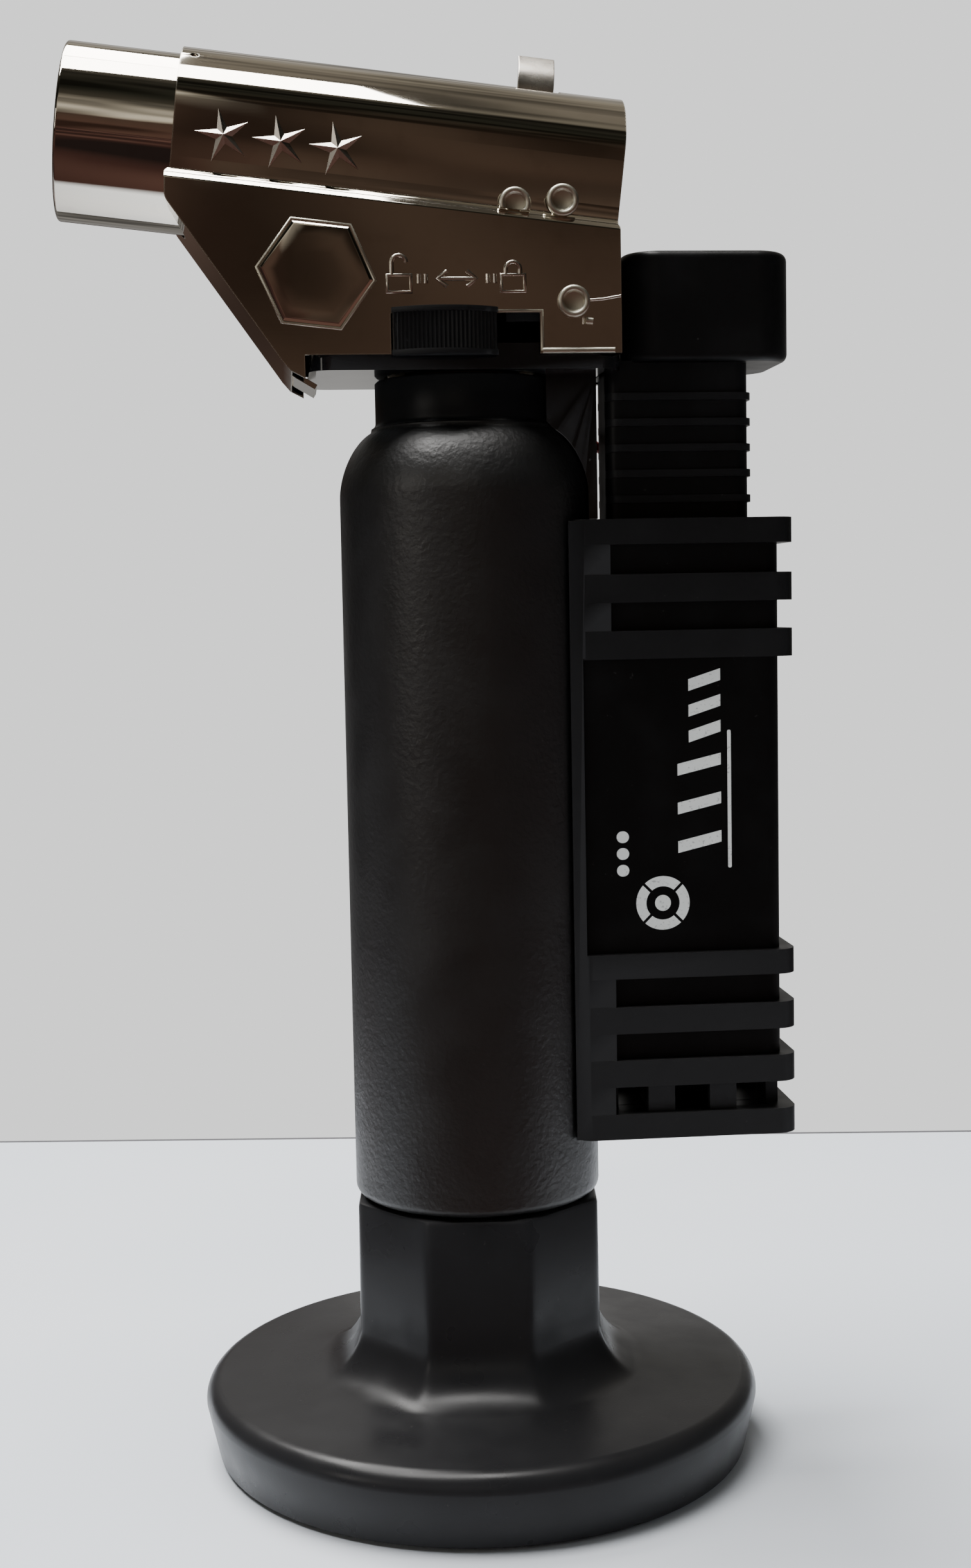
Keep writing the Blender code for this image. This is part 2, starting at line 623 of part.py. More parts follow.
def build_air_shutter():
    axis = axis_empty("air_shutter_axis", BURNER)
    shutter = turned("air_shutter", [(5.6, -4.5), (5.6, -13.8), (4.9, -13.8), (4.9, -4.5)],
                     CHROME, BURNER, 32)
    join(shutter, block("tab", (5.3, TAB_TOP), (-0.4, 0.4), TAB, None, BURNER))
    cut(shutter, rod("shutter_hole", (0, 9.5), 1.6, -9, 9, None,
                     BURNER @ Matrix.Rotation(math.radians(90), 4, "X"), 12))
    hang(axis, shutter)


def build_gas_tube():
    knots = [(0, -4.9, 157.5), (2.2, -7.2, 158.6), (4.5, -8.3, 161.5), (6.6, -8.4, 165.5),
             (9.5, -8.0, 169.0), (14.0, -6.0, 170.9), (16.8, -2.6, 171.2), (17.1, 0, 172.1)]
    wire("gas_tube", smooth_path(knots, 4), 0.8, BRASS)


def build_ignition_wire():
    knots = [(29, 5.4, 92), (29, 7.6, 96), (29, 9.1, 101), (29, 9.2, 115), (29, 9.2, 128),
             (27, 9.3, 135), (20.5, 9.4, 141), (16.2, 9.3, 146), (15.6, 9.3, 152),
             (17.6, 9.2, 158.5), (17.0, 9.2, 165), (12, 9.2, 170.5), (4, 9.1, 173.9), (-3, 8.6, 177.3),
             (-9.3, 8.1, 178.3)]
    wire("ignition_wire", smooth_path(knots, 3), 0.6, WIRE_COVER, 1)


# ---------------------------------------------------------------- thumb button and igniter

def build_thumb_button():
    x0, x1, z0, z1 = BLOCK
    axis = axis_empty("button_axis", Matrix.Translation(Vector((29, 0, 151)) * MM))
    outline = rounded((x0, x1), (-BLOCK_HALF, BLOCK_HALF), 5.0, 5)
    button = slab("thumb_button", outline, z0, z1, BLACK_PLASTIC)
    left, right = COLUMN
    column = slab("column", rounded((left, right), (-COLUMN_HALF, COLUMN_HALF), 2.0, 3),
                  COLUMN_FOOT, z0 + GAP)
    join(button, column)
    for i in range(RIB_COUNT):
        middle = RIB_TOP - RIB_PITCH * i
        outline = rounded((left, right + RIB_PROUD), (-COLUMN_HALF - RIB_PROUD,
                                                      COLUMN_HALF + RIB_PROUD), 2.2, 3)
        join(button, slab(f"rib_{i}", outline, middle - 0.7, middle + 0.7))
    cut(button, block("lever_pocket", (10, 28), (-4.6, 4.6), (z0 + 0.7, 164.6)))
    hang(axis, button)
    plunger = turned("igniter_plunger", [(0, 111.7), (3.6, 111.7), (3.6, 88.0), (0, 88.0)],
                     WHITE_PLASTIC, Matrix.Translation((0.029, 0, 0)), SMALL_ROUND)
    hang(axis, plunger)


def build_igniter():
    body = block("igniter_body", (24.0, 34.0), (-5.0, 5.0), (47.9, 100.0), WHITE_PLASTIC)
    cut(body, rod("igniter_bore", (29, 0), 4.0, 68, 120))
    wire("return_spring", helix((29, 0), 3.0, 68.8, 87.2, 8), 0.35, STEEL, 1)


# ---------------------------------------------------------------- grip

def build_grip_half(name, side):
    """One moulded half: a core with fins and an upright band, hollow inside."""
    core = rounded((GRIP_LEFT + 0.4, CORE_RIGHT), (-CORE_HALF, CORE_HALF), 2.0, 3)
    half = slab(name, core, GRIP_FOOT + 0.3, GRIP_TOP - 0.3, BLACK_PLASTIC)
    fin = rounded((GRIP_LEFT, GRIP_RIGHT), (-GRIP_HALF, GRIP_HALF), 2.6, 4)
    for i, (low, high) in enumerate(UPPER_FINS + LOWER_FINS):
        join(half, slab(f"{name}_fin_{i}", fin, low, high))
    bands = ((UPPER_FINS[0][0] + 0.2, GRIP_TOP - 0.2, BAND_RIGHT),
             (GRIP_FOOT + 0.2, LOWER_FINS[-1][1] - 0.2, BAND_RIGHT),
             (LOWER_FINS[-1][0], UPPER_FINS[0][1] - 0.2, PANEL_LEFT))
    for i, (low, high, right) in enumerate(bands):
        join(half, block(f"{name}_band_{i}", (GRIP_LEFT + 0.05, right),
                         (-GRIP_HALF + 0.05, GRIP_HALF - 0.05), (low, high)))
    cut(half, rod(f"{name}_tank_room", (0, 0), TANK_RADIUS + GAP, 30, 160, sides=96),
        block(f"{name}_hollow", (19.2, 40.1), (-9.8, 9.8), (GRIP_FOOT + 1.8, 140)),
        block(f"{name}_mouth", (18.6, 39.4), (-9.8, 9.8) if side > 0 else (-8.4, 8.4),
              (COLUMN_FOOT - BUTTON_TRAVEL - 1, 140)))
    low, high = LOWER_FINS[0][1], LOWER_FINS[1][0]
    for i, (left, right) in enumerate(VENTS):
        depth = (8, 20) if side > 0 else (-20, -8)
        cut(half, block(f"{name}_vent_{i}", (left, right), depth, (low, high)))
    for i, place in enumerate(BOSSES):
        boss, hole = ((-10.4, 0), (-12, 0)) if side > 0 else ((0, 10.4), (0, 8.5))
        join(half, rod(f"{name}_boss_{i}", place, 1.9, *boss, None, FRONT, 16))
        cut(half, rod(f"{name}_screw_hole_{i}", place, 1.0, *hole, None, FRONT, 12))
        if side > 0:
            cut(half, rod(f"{name}_seat_{i}", place, 2.4, -20, -10.4, None, FRONT, 16))
    other = (-30, 0.15) if side > 0 else (-0.15, 30)
    cut(half, block(f"{name}_split", (0, 60), other, (30, 150)))


def build_grip_screws():
    for i, place in enumerate(BOSSES):
        screw = rod(f"grip_screw_{i + 1}", place, 0.7, -10.9, 7.5, STEEL, FRONT, 10)
        join(screw, rod(f"screw_head_{i}", place, 2.0, -11.4, -10.7, None, FRONT, 16))


build_stand()
build_tank()
build_refill_valve()
build_outlet_valve()
build_head_plate()
build_head_shell()
build_chassis()
build_fasteners()
build_gas_lever()
build_lock_slider()
build_burner(axis_empty("burner_axis", BURNER))
build_air_shutter()
build_gas_tube()
build_ignition_wire()
build_thumb_button()
build_igniter()
build_grip_half("grip_front", -1)
build_grip_half("grip_rear", 1)
build_grip_screws()
bpy.context.view_layer.update()
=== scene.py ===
"""Looks of the butane bench torch: fine pieces, materials, studio and camera.

Lengths in the constants and helper calls are millimetres and become metres where
a mesh, a light or a place is made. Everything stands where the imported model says.
"""
import math

import bmesh
import bpy
from mathutils import Matrix, Vector


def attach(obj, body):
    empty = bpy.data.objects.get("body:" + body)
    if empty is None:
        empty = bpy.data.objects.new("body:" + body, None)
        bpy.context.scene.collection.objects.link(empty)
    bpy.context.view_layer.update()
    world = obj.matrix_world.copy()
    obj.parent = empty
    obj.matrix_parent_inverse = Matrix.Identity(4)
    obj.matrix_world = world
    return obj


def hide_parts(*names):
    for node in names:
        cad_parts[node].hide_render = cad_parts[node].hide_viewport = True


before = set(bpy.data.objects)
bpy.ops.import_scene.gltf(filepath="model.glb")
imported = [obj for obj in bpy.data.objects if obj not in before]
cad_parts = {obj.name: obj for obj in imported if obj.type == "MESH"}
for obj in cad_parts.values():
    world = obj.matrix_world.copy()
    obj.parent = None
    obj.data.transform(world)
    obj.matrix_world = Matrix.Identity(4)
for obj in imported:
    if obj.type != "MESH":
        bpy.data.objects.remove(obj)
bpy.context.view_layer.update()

MM = 0.001

# Camera
LENS = 47.19                 # on a 36 mm long side
CAMERA_PLACE = (-25.06, -286.4, 119.2)
CAMERA_TURN = 5.435          # degrees from +Y towards +X
CAMERA_PITCH = 5.01          # degrees down
CAMERA_ROLL = -1.07

# Table top: its back edge's distance from the stand's axis, and its turn
TABLE_BACK = 167.0
TABLE_TURN = -7.1

# Stand and tank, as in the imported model
FOOT_RADIUS = 37.6
RIM_RADIUS = 39.2
RIM_TOP = 10.6
RECESS_RADIUS = 34.2
COLLAR_FLAT_TOP = 33.4
COLLAR_TOP = 36.3
COLLAR_BORE = 13.8
BORE_FLOOR = 19.0
COLLAR_TURN = -5.0
TANK_RADIUS = 17.25
TANK_FOOT = COLLAR_TOP + 0.35
SHOULDER_FOOT = 134.0
SHOULDER_HEIGHT = 9.2
SHOULDER_INNER = 11.6        # radius where it meets the neck
NECK_RADIUS = 12.1
NECK_FOOT = 143.6            # the neck above it gets a duller, darker finish: painted shade under the head
NECK_TOP = 149.8
CLEAR = 0.3                  # round the tank and the burner tube

# Head plate
PLATE_FOOT = 150.1
PLATE_TOP = 153.5
PLATE_LEFT = -21.2
PLATE_RIGHT = 19.3
PLATE_HALF = 12.4

# Head shell and burner
BURNER_TILT = 6.5
BURNER_AT_AXIS = 177.3
LEDGE_TILT = 6.6
LEDGE_AT_AXIS = 171.1
SHELL_RISE = 12.6            # its top above the burner axis
SHELL_HALF = 12.5
JOGGLE = 0.8
SHEET = 0.5
SHELL_REAR = 20.2
SHELL_FOOT = 152.0
SHELL_FRONT = -39.3
SLOPE_FOOT = (-24.7, 151.3)
SLOPE_TOP = (-38.9, 171.7)
LIP = ((-24.6, 151.3), (-23.9, 150.5), (-22.9, 149.8), (-20.4, 148.3))
LIP_HALF = 6.0
TUBE_RADIUS = 11.7
TUBE_WALL = 0.8
TUBE_MOUTH = 53.4
TUBE_REAR = 12.0
TAB = (-11.9, -6.9)
TAB_TOP = 18.0
LEVER_PIVOT = (13.8, 158.7)
RIVETS = ((12.6, 171.9), (6.3, 171.5))
LOCK_SLOT = (-10.4, 9.3)
LOCK_SLOT_TOP = 157.3
LOCK_MIDDLE = -3.3
LOCK_HALF = 7.0
LOCK_FOOT = 151.8
LOCK_TOP = 158.0
LOCK_RIM = 0.7

# Pressed and raised signs on the shell
HEXAGON = (-20.0, 162.4)
HEXAGON_RADIUS = 7.7
STARS = (31.6, 24.2, 16.8)   # along the burner axis
STAR_TIP = 3.75
STAR_VALLEY = 1.12
STAR_HEIGHT = 0.55
STAR_UP = -0.7               # from the burner axis
LEGEND = (-1.6, 162.1)

# Thumb button
BLOCK = (21.2, 44.3, 151.3, 166.0)
BLOCK_HALF = 10.0
COLUMN = (18.9, 38.6)
COLUMN_HALF = 7.5
COLUMN_FOOT = 112.0
BUTTON_TRAVEL = 5.0
RIB_PROUD = 0.4
RIB_TOP = 146.8
RIB_PITCH = 3.45
RIB_COUNT = 5

# Grip
GRIP_LEFT = 12.7
GRIP_RIGHT = 43.7
GRIP_HALF = 12.4
CORE_RIGHT = 41.8
CORE_HALF = 11.3
GRIP_FOOT = 45.5
GRIP_TOP = 130.2
BAND_RIGHT = 18.4
PANEL_LEFT = 14.5
UPPER_FINS = ((111.4, 115.2), (119.0, 122.8), (126.8, GRIP_TOP))
LOWER_FINS = ((GRIP_FOOT, 49.0), (52.8, 56.5), (60.2, 63.9), (67.8, 71.2))
VENTS = ((18.2, 22.9), (26.6, 31.5), (35.2, 48.0))
BOSSES = ((21.7, 76.0), (38.0, 76.0), (21.7, 103.5), (38.0, 103.5))

FRONT = Matrix.Rotation(math.radians(90), 4, "X")
PLAN = Matrix.Identity(4)

WELD = 0.000002              # metres between points that become one
FLAT = math.radians(0.6)     # faces that lean less than this become one


def axis_frame(tilt, height):
    """A frame on the tank axis whose Z points along a line rising to the left."""
    turn = Matrix.Rotation(math.radians(tilt - 90), 4, "Y")
    return Matrix.Translation((0, 0, height * MM)) @ turn


BURNER = axis_frame(BURNER_TILT, BURNER_AT_AXIS)
LEDGE = axis_frame(LEDGE_TILT, LEDGE_AT_AXIS)


# ---- camera, studio

def add(name, data):
    """Put an object into the scene."""
    made = bpy.data.objects.new(name, data)
    bpy.context.scene.collection.objects.link(made)
    return made


def build_camera():
    data = bpy.data.cameras.new("view")
    data.sensor_width = 36
    data.lens = LENS
    data.clip_start = 0.01
    data.clip_end = 20
    turn, pitch, roll = (math.radians(a) for a in (CAMERA_TURN, CAMERA_PITCH, CAMERA_ROLL))
    look = Vector((math.sin(turn) * math.cos(pitch), math.cos(turn) * math.cos(pitch),
                   -math.sin(pitch)))
    level = Vector((math.cos(turn), -math.sin(turn), 0))
    upright = level.cross(look)
    right = level * math.cos(roll) + upright * math.sin(roll)
    up = upright * math.cos(roll) - level * math.sin(roll)
    place = Matrix.Translation(Vector(CAMERA_PLACE) * MM)
    camera = add("view", data)
    camera.matrix_world = place @ Matrix((right, up, -look)).transposed().to_4x4()
    bpy.context.scene.camera = camera


def panel(name, centre, aim, width, depth, power, colour=(1, 1, 1), mirrored=True,
          turn=0.0):
    """A rectangular soft light in metres, its width kept level before the turn about Z."""
    data = bpy.data.lights.new(name, "AREA")
    data.shape = "RECTANGLE"
    data.size = width
    data.size_y = depth
    data.energy = power
    data.color = colour
    light = add(name, data)
    back = (Vector(centre) - Vector(aim)).normalized()
    level = Vector((0, 1, 0) if back.z > 0.9 else (0, 0, 1)).cross(back).normalized()
    turned = Matrix((level, back.cross(level), back)).transposed()
    light.matrix_world = (Matrix.Translation(centre)
                          @ Matrix.Rotation(math.radians(turn), 4, "Z") @ turned.to_4x4())
    light.visible_camera = False
    light.visible_glossy = mirrored


def node(tree, kind, sources=(), **values):
    """Add a shader node with its first inputs linked or set in order."""
    made = tree.nodes.new(kind)
    for name, value in values.items():
        setattr(made, name, value)
    for i, source in enumerate(sources):
        if isinstance(source, (int, float, tuple)):
            made.inputs[i].default_value = source
        elif source is not None:
            tree.links.new(source, made.inputs[i])
    return made


def maths(tree, operation, *sources):
    return node(tree, "ShaderNodeMath", sources, operation=operation).outputs[0]


def spread(tree, source, low, high, to_low=0.0, to_high=1.0):
    """The source's range from low to high, spread over another range."""
    made = node(tree, "ShaderNodeMapRange", (source, low, high, to_low, to_high))
    return made.outputs["Result"]


def clouds(tree, source, scale, detail=2.0, rough=0.5):
    made = node(tree, "ShaderNodeTexNoise", (source,))
    for name, value in (("Scale", scale), ("Detail", detail), ("Roughness", rough)):
        made.inputs[name].default_value = value
    return made.outputs["Fac"]


def ramp(tree, source, stops):
    """A colour ramp with (position, colour) stops."""
    made = node(tree, "ShaderNodeValToRGB", (source,))
    elements = made.color_ramp.elements
    while len(elements) < len(stops):
        elements.new(1.0)
    for element, (place, colour) in zip(elements, stops):
        element.position = place
        element.color = (*colour, 1)
    return made.outputs["Color"]


def blend(tree, factor, first, second):
    """Mix two colours, each a linked socket or four numbers."""
    mix = node(tree, "ShaderNodeMix", data_type="RGBA")
    for name, source in (("Factor", factor), ("A", first), ("B", second)):
        if isinstance(source, tuple):
            mix.inputs[name].default_value = source
        else:
            tree.links.new(source, mix.inputs[name])
    return mix.outputs["Result"]


def build_world():
    """A pale wall to look at, and the darker room that the metal mirrors."""
    world = bpy.data.worlds.new("room")
    bpy.context.scene.world = world
    world.use_nodes = True
    tree = world.node_tree
    tree.nodes.clear()
    way = node(tree, "ShaderNodeTexCoord").outputs["Generated"]
    parts = node(tree, "ShaderNodeSeparateXYZ", (way,)).outputs
    climb = maths(tree, "ARCTAN2", parts["Z"], maths(tree, "MULTIPLY", parts["Y"], -1.0))
    turn = maths(tree, "DIVIDE", climb, math.pi)
    shift = maths(tree, "MULTIPLY_ADD", clouds(tree, way, 3.2, 3.0), 0.09, -0.045)
    place = maths(tree, "WRAP", maths(tree, "ADD", turn, shift), 1.5, -0.5)
    # stops run from the horizon in front, over the top, to the horizon behind
    front_right = [(0.0, (0.115, 0.082, 0.062)), (0.05, (0.080, 0.052, 0.038)),
                   (0.12, (0.040, 0.030, 0.022))]
    front_left = [(0.0, (0.10, 0.055, 0.042)), (0.075, (0.075, 0.048, 0.036)),
                  (0.10, (0.72, 0.66, 0.55)), (0.17, (0.46, 0.42, 0.35)),
                  (0.205, (0.05, 0.045, 0.035))]
    overhead = [(0.25, (0.020, 0.020, 0.015)), (0.39, (0.030, 0.028, 0.022)),
                (0.435, (0.17, 0.155, 0.125)), (0.56, (0.19, 0.17, 0.14)),
                (0.72, (0.27, 0.245, 0.20)), (0.84, (0.50, 0.48, 0.45)),
                (0.90, (0.55, 0.54, 0.52))]
    rear_left = [(0.93, (0.10, 0.07, 0.055)), (0.985, (0.07, 0.045, 0.035)),
                 (1.0, (0.24, 0.235, 0.23))]
    right = ramp(tree, place, front_right + overhead)
    left = ramp(tree, place, front_left + overhead + rear_left)
    colour = blend(tree, spread(tree, parts["X"], -0.005, -0.03), right, left)
    mottle = spread(tree, clouds(tree, way, 9.0, 0.0), 0.30, 0.62, 0.40, 1.15)
    dim = spread(tree, maths(tree, "ABSOLUTE", parts["X"]), 0.35, 0.75, 1.0, 0.18)
    room = node(tree, "ShaderNodeBackground", (colour, maths(tree, "MULTIPLY", mottle, dim)))
    wall = node(tree, "ShaderNodeBackground", ((1.0, 1.005, 1.0, 1), 1.22))
    seen = node(tree, "ShaderNodeLightPath").outputs["Is Camera Ray"]
    mix = node(tree, "ShaderNodeMixShader", (seen, room.outputs[0], wall.outputs[0]))
    node(tree, "ShaderNodeOutputWorld", (mix.outputs[0],))


def build_floor():
    """A pale table top with its back edge behind the torch, a painted shadow along that edge and a
    painted dark reflection where the metal mirrors it.
    """
    mesh = bpy.data.meshes.new("floor")
    shape = bmesh.new()
    back, far = TABLE_BACK * MM, 2.5
    shape.faces.new([shape.verts.new(place) for place in
                     ((-far, -far, 0), (far, -far, 0), (far, back, 0), (-far, back, 0))])
    shape.to_mesh(mesh)
    shape.free()
    paint = bpy.data.materials.new("floor_paint")
    paint.use_nodes = True
    tree = paint.node_tree
    shader = tree.nodes["Principled BSDF"]
    shader.inputs["Roughness"].default_value = 0.6
    place = node(tree, "ShaderNodeTexCoord").outputs["Object"]
    parts = node(tree, "ShaderNodeSeparateXYZ", (place,)).outputs
    # a dark strip along the table's back edge: a painted shadow of the gap between table and wall
    edge = spread(tree, parts["Y"], back - 0.0016, back - 0.0012)
    top = ramp(tree, clouds(tree, place, 9), [(0.35, (0.78, 0.84, 0.92)),
                                              (0.65, (0.83, 0.88, 0.95))])
    tree.links.new(blend(tree, edge, top, (0.09, 0.09, 0.10, 1)), shader.inputs["Base Color"])
    # seen in the metal, the table in front and to the sides turns into a dark glowing patch: a
    # painted reflection standing for a dark room in front of it
    near = spread(tree, parts["Y"], -0.035, -0.065)
    wide = spread(tree, maths(tree, "ABSOLUTE", parts["X"]), 0.08, 0.20, 0.0, 0.9)
    glossy = node(tree, "ShaderNodeLightPath").outputs["Is Glossy Ray"]
    mirrored = maths(tree, "MULTIPLY", maths(tree, "MAXIMUM", near, wide), glossy)
    dark = ramp(tree, clouds(tree, place, 4.5, 0.0), [(0.32, (0.022, 0.015, 0.014)),
                                                      (0.50, (0.065, 0.032, 0.027)),
                                                      (0.70, (0.15, 0.080, 0.064))])
    painted_reflection = node(tree, "ShaderNodeEmission", (dark, 1.0))
    mix = node(tree, "ShaderNodeMixShader", (mirrored, shader.outputs[0], painted_reflection.outputs[0]))
    tree.links.new(mix.outputs[0], tree.nodes["Material Output"].inputs["Surface"])
    mesh.materials.append(paint)
    floor = add("floor", mesh)
    floor.location.z = -0.0002
    floor.rotation_euler.z = math.radians(TABLE_TURN)


def build_studio():
    build_world()
    build_floor()
    warm = (1, 0.985, 0.97)
    panel("ceiling_front", (-0.40, -0.11, 1.70), (-0.40, -0.11, 0), 1.22, 0.60, 35, warm, turn=6)
    panel("ceiling_rear", (-0.50, 0.68, 1.70), (-0.50, 0.68, 0), 1.04, 0.89, 48, warm)
    panel("window", (-0.95, -0.62, 0.40), (0, 0, 0.1), 0.30, 0.36, 0.8, (1, 0.94, 0.86))
    panel("side", (1.3, -0.5, 0.7), (0, 0, 0.1), 0.6, 0.8, 2, (0.93, 0.96, 1), False)


# ---- materials

class Look:
    """A Principled material built up by small node steps."""

    def __init__(self, name, colour, roughness, metallic=0.0):
        self.material = bpy.data.materials.new(name)
        self.material.use_nodes = True
        self.tree = self.material.node_tree
        self.shader = self.tree.nodes["Principled BSDF"]
        self.shader.inputs["Base Color"].default_value = (*colour, 1)
        self.shader.inputs["Roughness"].default_value = roughness
        self.shader.inputs["Metallic"].default_value = metallic
        self.place = node(self.tree, "ShaderNodeTexCoord").outputs["Object"]
        self.colour = (*colour, 1)
        self.normal = None

    def noise(self, size, detail=2.0, stretch=None, rough=0.5):
        """Noise whose blotches are about size millimetres; stretch is (scale, degrees)."""
        source = self.place
        if stretch:
            mapping = node(self.tree, "ShaderNodeMapping", (source,))
            mapping.inputs["Scale"].default_value = stretch[0]
            mapping.inputs["Rotation"].default_value = [math.radians(a) for a in stretch[1]]
            source = mapping.outputs["Vector"]
        return clouds(self.tree, source, 1 / (size * MM), detail, rough)

    def rough(self, source, to_low, to_high, low=0.3, high=0.7):
        self.tree.links.new(spread(self.tree, source, low, high, to_low, to_high),
                            self.shader.inputs["Roughness"])

    def tint(self, source, colour, low, high, amount=1.0):
        """Mix another colour in where the source is high."""
        self.colour = blend(self.tree, spread(self.tree, source, low, high, 0, amount),
                            self.colour, (*colour, 1))
        self.tree.links.new(self.colour, self.shader.inputs["Base Color"])

    def along(self, axis):
        return node(self.tree, "ShaderNodeSeparateXYZ", (self.place,)).outputs[axis]

    def proud(self, low, high):
        """High where the surface is far out to the front or rear, in millimetres."""
        return spread(self.tree, maths(self.tree, "ABSOLUTE", self.along("Y")), low * MM, high * MM)

    def low_down(self, low, high):
        """High near the foot, fading between two heights in millimetres."""
        return spread(self.tree, self.along("Z"), low * MM, high * MM, 1, 0)

    def edges(self):
        """High on outer edges."""
        return node(self.tree, "ShaderNodeNewGeometry").outputs["Pointiness"]

    def corners(self, width):
        """High within width millimetres of an edge."""
        flat = node(self.tree, "ShaderNodeNewGeometry").outputs["Normal"]
        eased = node(self.tree, "ShaderNodeBevel", (width * MM,), samples=6).outputs["Normal"]
        match = node(self.tree, "ShaderNodeVectorMath", (flat, eased), operation="DOT_PRODUCT")
        return maths(self.tree, "SUBTRACT", 1.0, match.outputs["Value"])

    def bump(self, source, height, strength=1.0):
        """Raise the surface by up to height millimetres."""
        step = node(self.tree, "ShaderNodeBump")
        step.inputs["Distance"].default_value = height * MM
        step.inputs["Strength"].default_value = strength
        self.tree.links.new(source, step.inputs["Height"])
        if self.normal is not None:
            self.tree.links.new(self.normal, step.inputs["Normal"])
        self.normal = step.outputs["Normal"]
        self.tree.links.new(self.normal, self.shader.inputs["Normal"])


def moulded(name, colour, low, high, grain, height, shine, paint_table_light=False):
    """Black moulded plastic: fine grain, rubbed patches, outer edges painted paler as a painted
    highlight, and lower front and rear faces painted lighter as painted light from the table when
    asked.
    """
    # one pale colour for the rubbed patches (wear) and for painted light: edge highlights and light
    # from the table
    wear_and_painted_light = (0.03, 0.03, 0.031)
    look = Look(name, colour, (low + high) / 2)
    look.shader.inputs["Specular IOR Level"].default_value = shine
    look.rough(look.noise(7, 3), low, high)
    look.tint(look.noise(11, 4), wear_and_painted_light, 0.5, 0.85, 0.12)
    # outer edges painted paler: a painted highlight
    look.tint(look.edges(), wear_and_painted_light, 0.53, 0.62, 0.6)
    look.tint(look.noise(0.9, 2), (0.07, 0.068, 0.064), 0.74, 0.8, 0.3)
    # lower front and rear faces painted lighter: painted light from the table below
    if paint_table_light:
        painted_table_light = maths(look.tree, "MULTIPLY", look.proud(11.5, 12.2), look.low_down(60, 150))
        look.tint(painted_table_light, wear_and_painted_light, 0, 1, 0.55)
    look.bump(look.noise(grain, 2), height, 0.6)
    look.bump(look.noise(2.2, 3, ((0.12, 1, 1), (0, 18, 30)), 0.6), height * 0.5, 0.25)
    return look.material


def metal(name, colour, low, high, dark, brushed=0.0):
    """Bare or plated metal with stains, fine scratches and an uneven surface."""
    look = Look(name, colour, low, 1.0)
    look.rough(look.noise(5, 4), low, high, 0.35, 0.75)
    look.tint(look.noise(3.3, 5), dark, 0.55, 0.85, 0.35)
    if brushed:
        look.bump(look.noise(1.1, 3, ((0.04, 1, 1), (0, 6.5, 0))), brushed, 0.5)
    scratch(look)
    return look.material


def mirror(name, colour, low, rubbed, dark, ripple):
    """Bright plating, rippled, stained and rubbed dull along its edges."""
    look = Look(name, colour, low, 1.0)
    look.tint(look.noise(3.3, 5), dark, 0.55, 0.85, 0.35)
    look.rough(look.corners(0.4), low, rubbed, 0.02, 0.2)
    look.bump(look.noise(9, 1), ripple, 0.5)
    scratch(look)
    return look.material


def scratch(look):
    look.bump(look.noise(1.6, 3, ((0.05, 1, 1), (24, 40, 11)), 0.7), 0.004, 0.2)


def plain(name, colour, roughness, patches, stains, grain):
    """A simple surface with duller patches, stains and a fine grain."""
    look = Look(name, colour, roughness)
    size, low, high = patches
    look.rough(look.noise(size), low, high)
    size, detail, stain, low, high, amount = stains
    look.tint(look.noise(size, detail), stain, low, high, amount)
    size, height = grain
    look.bump(look.noise(size), height)
    return look.material


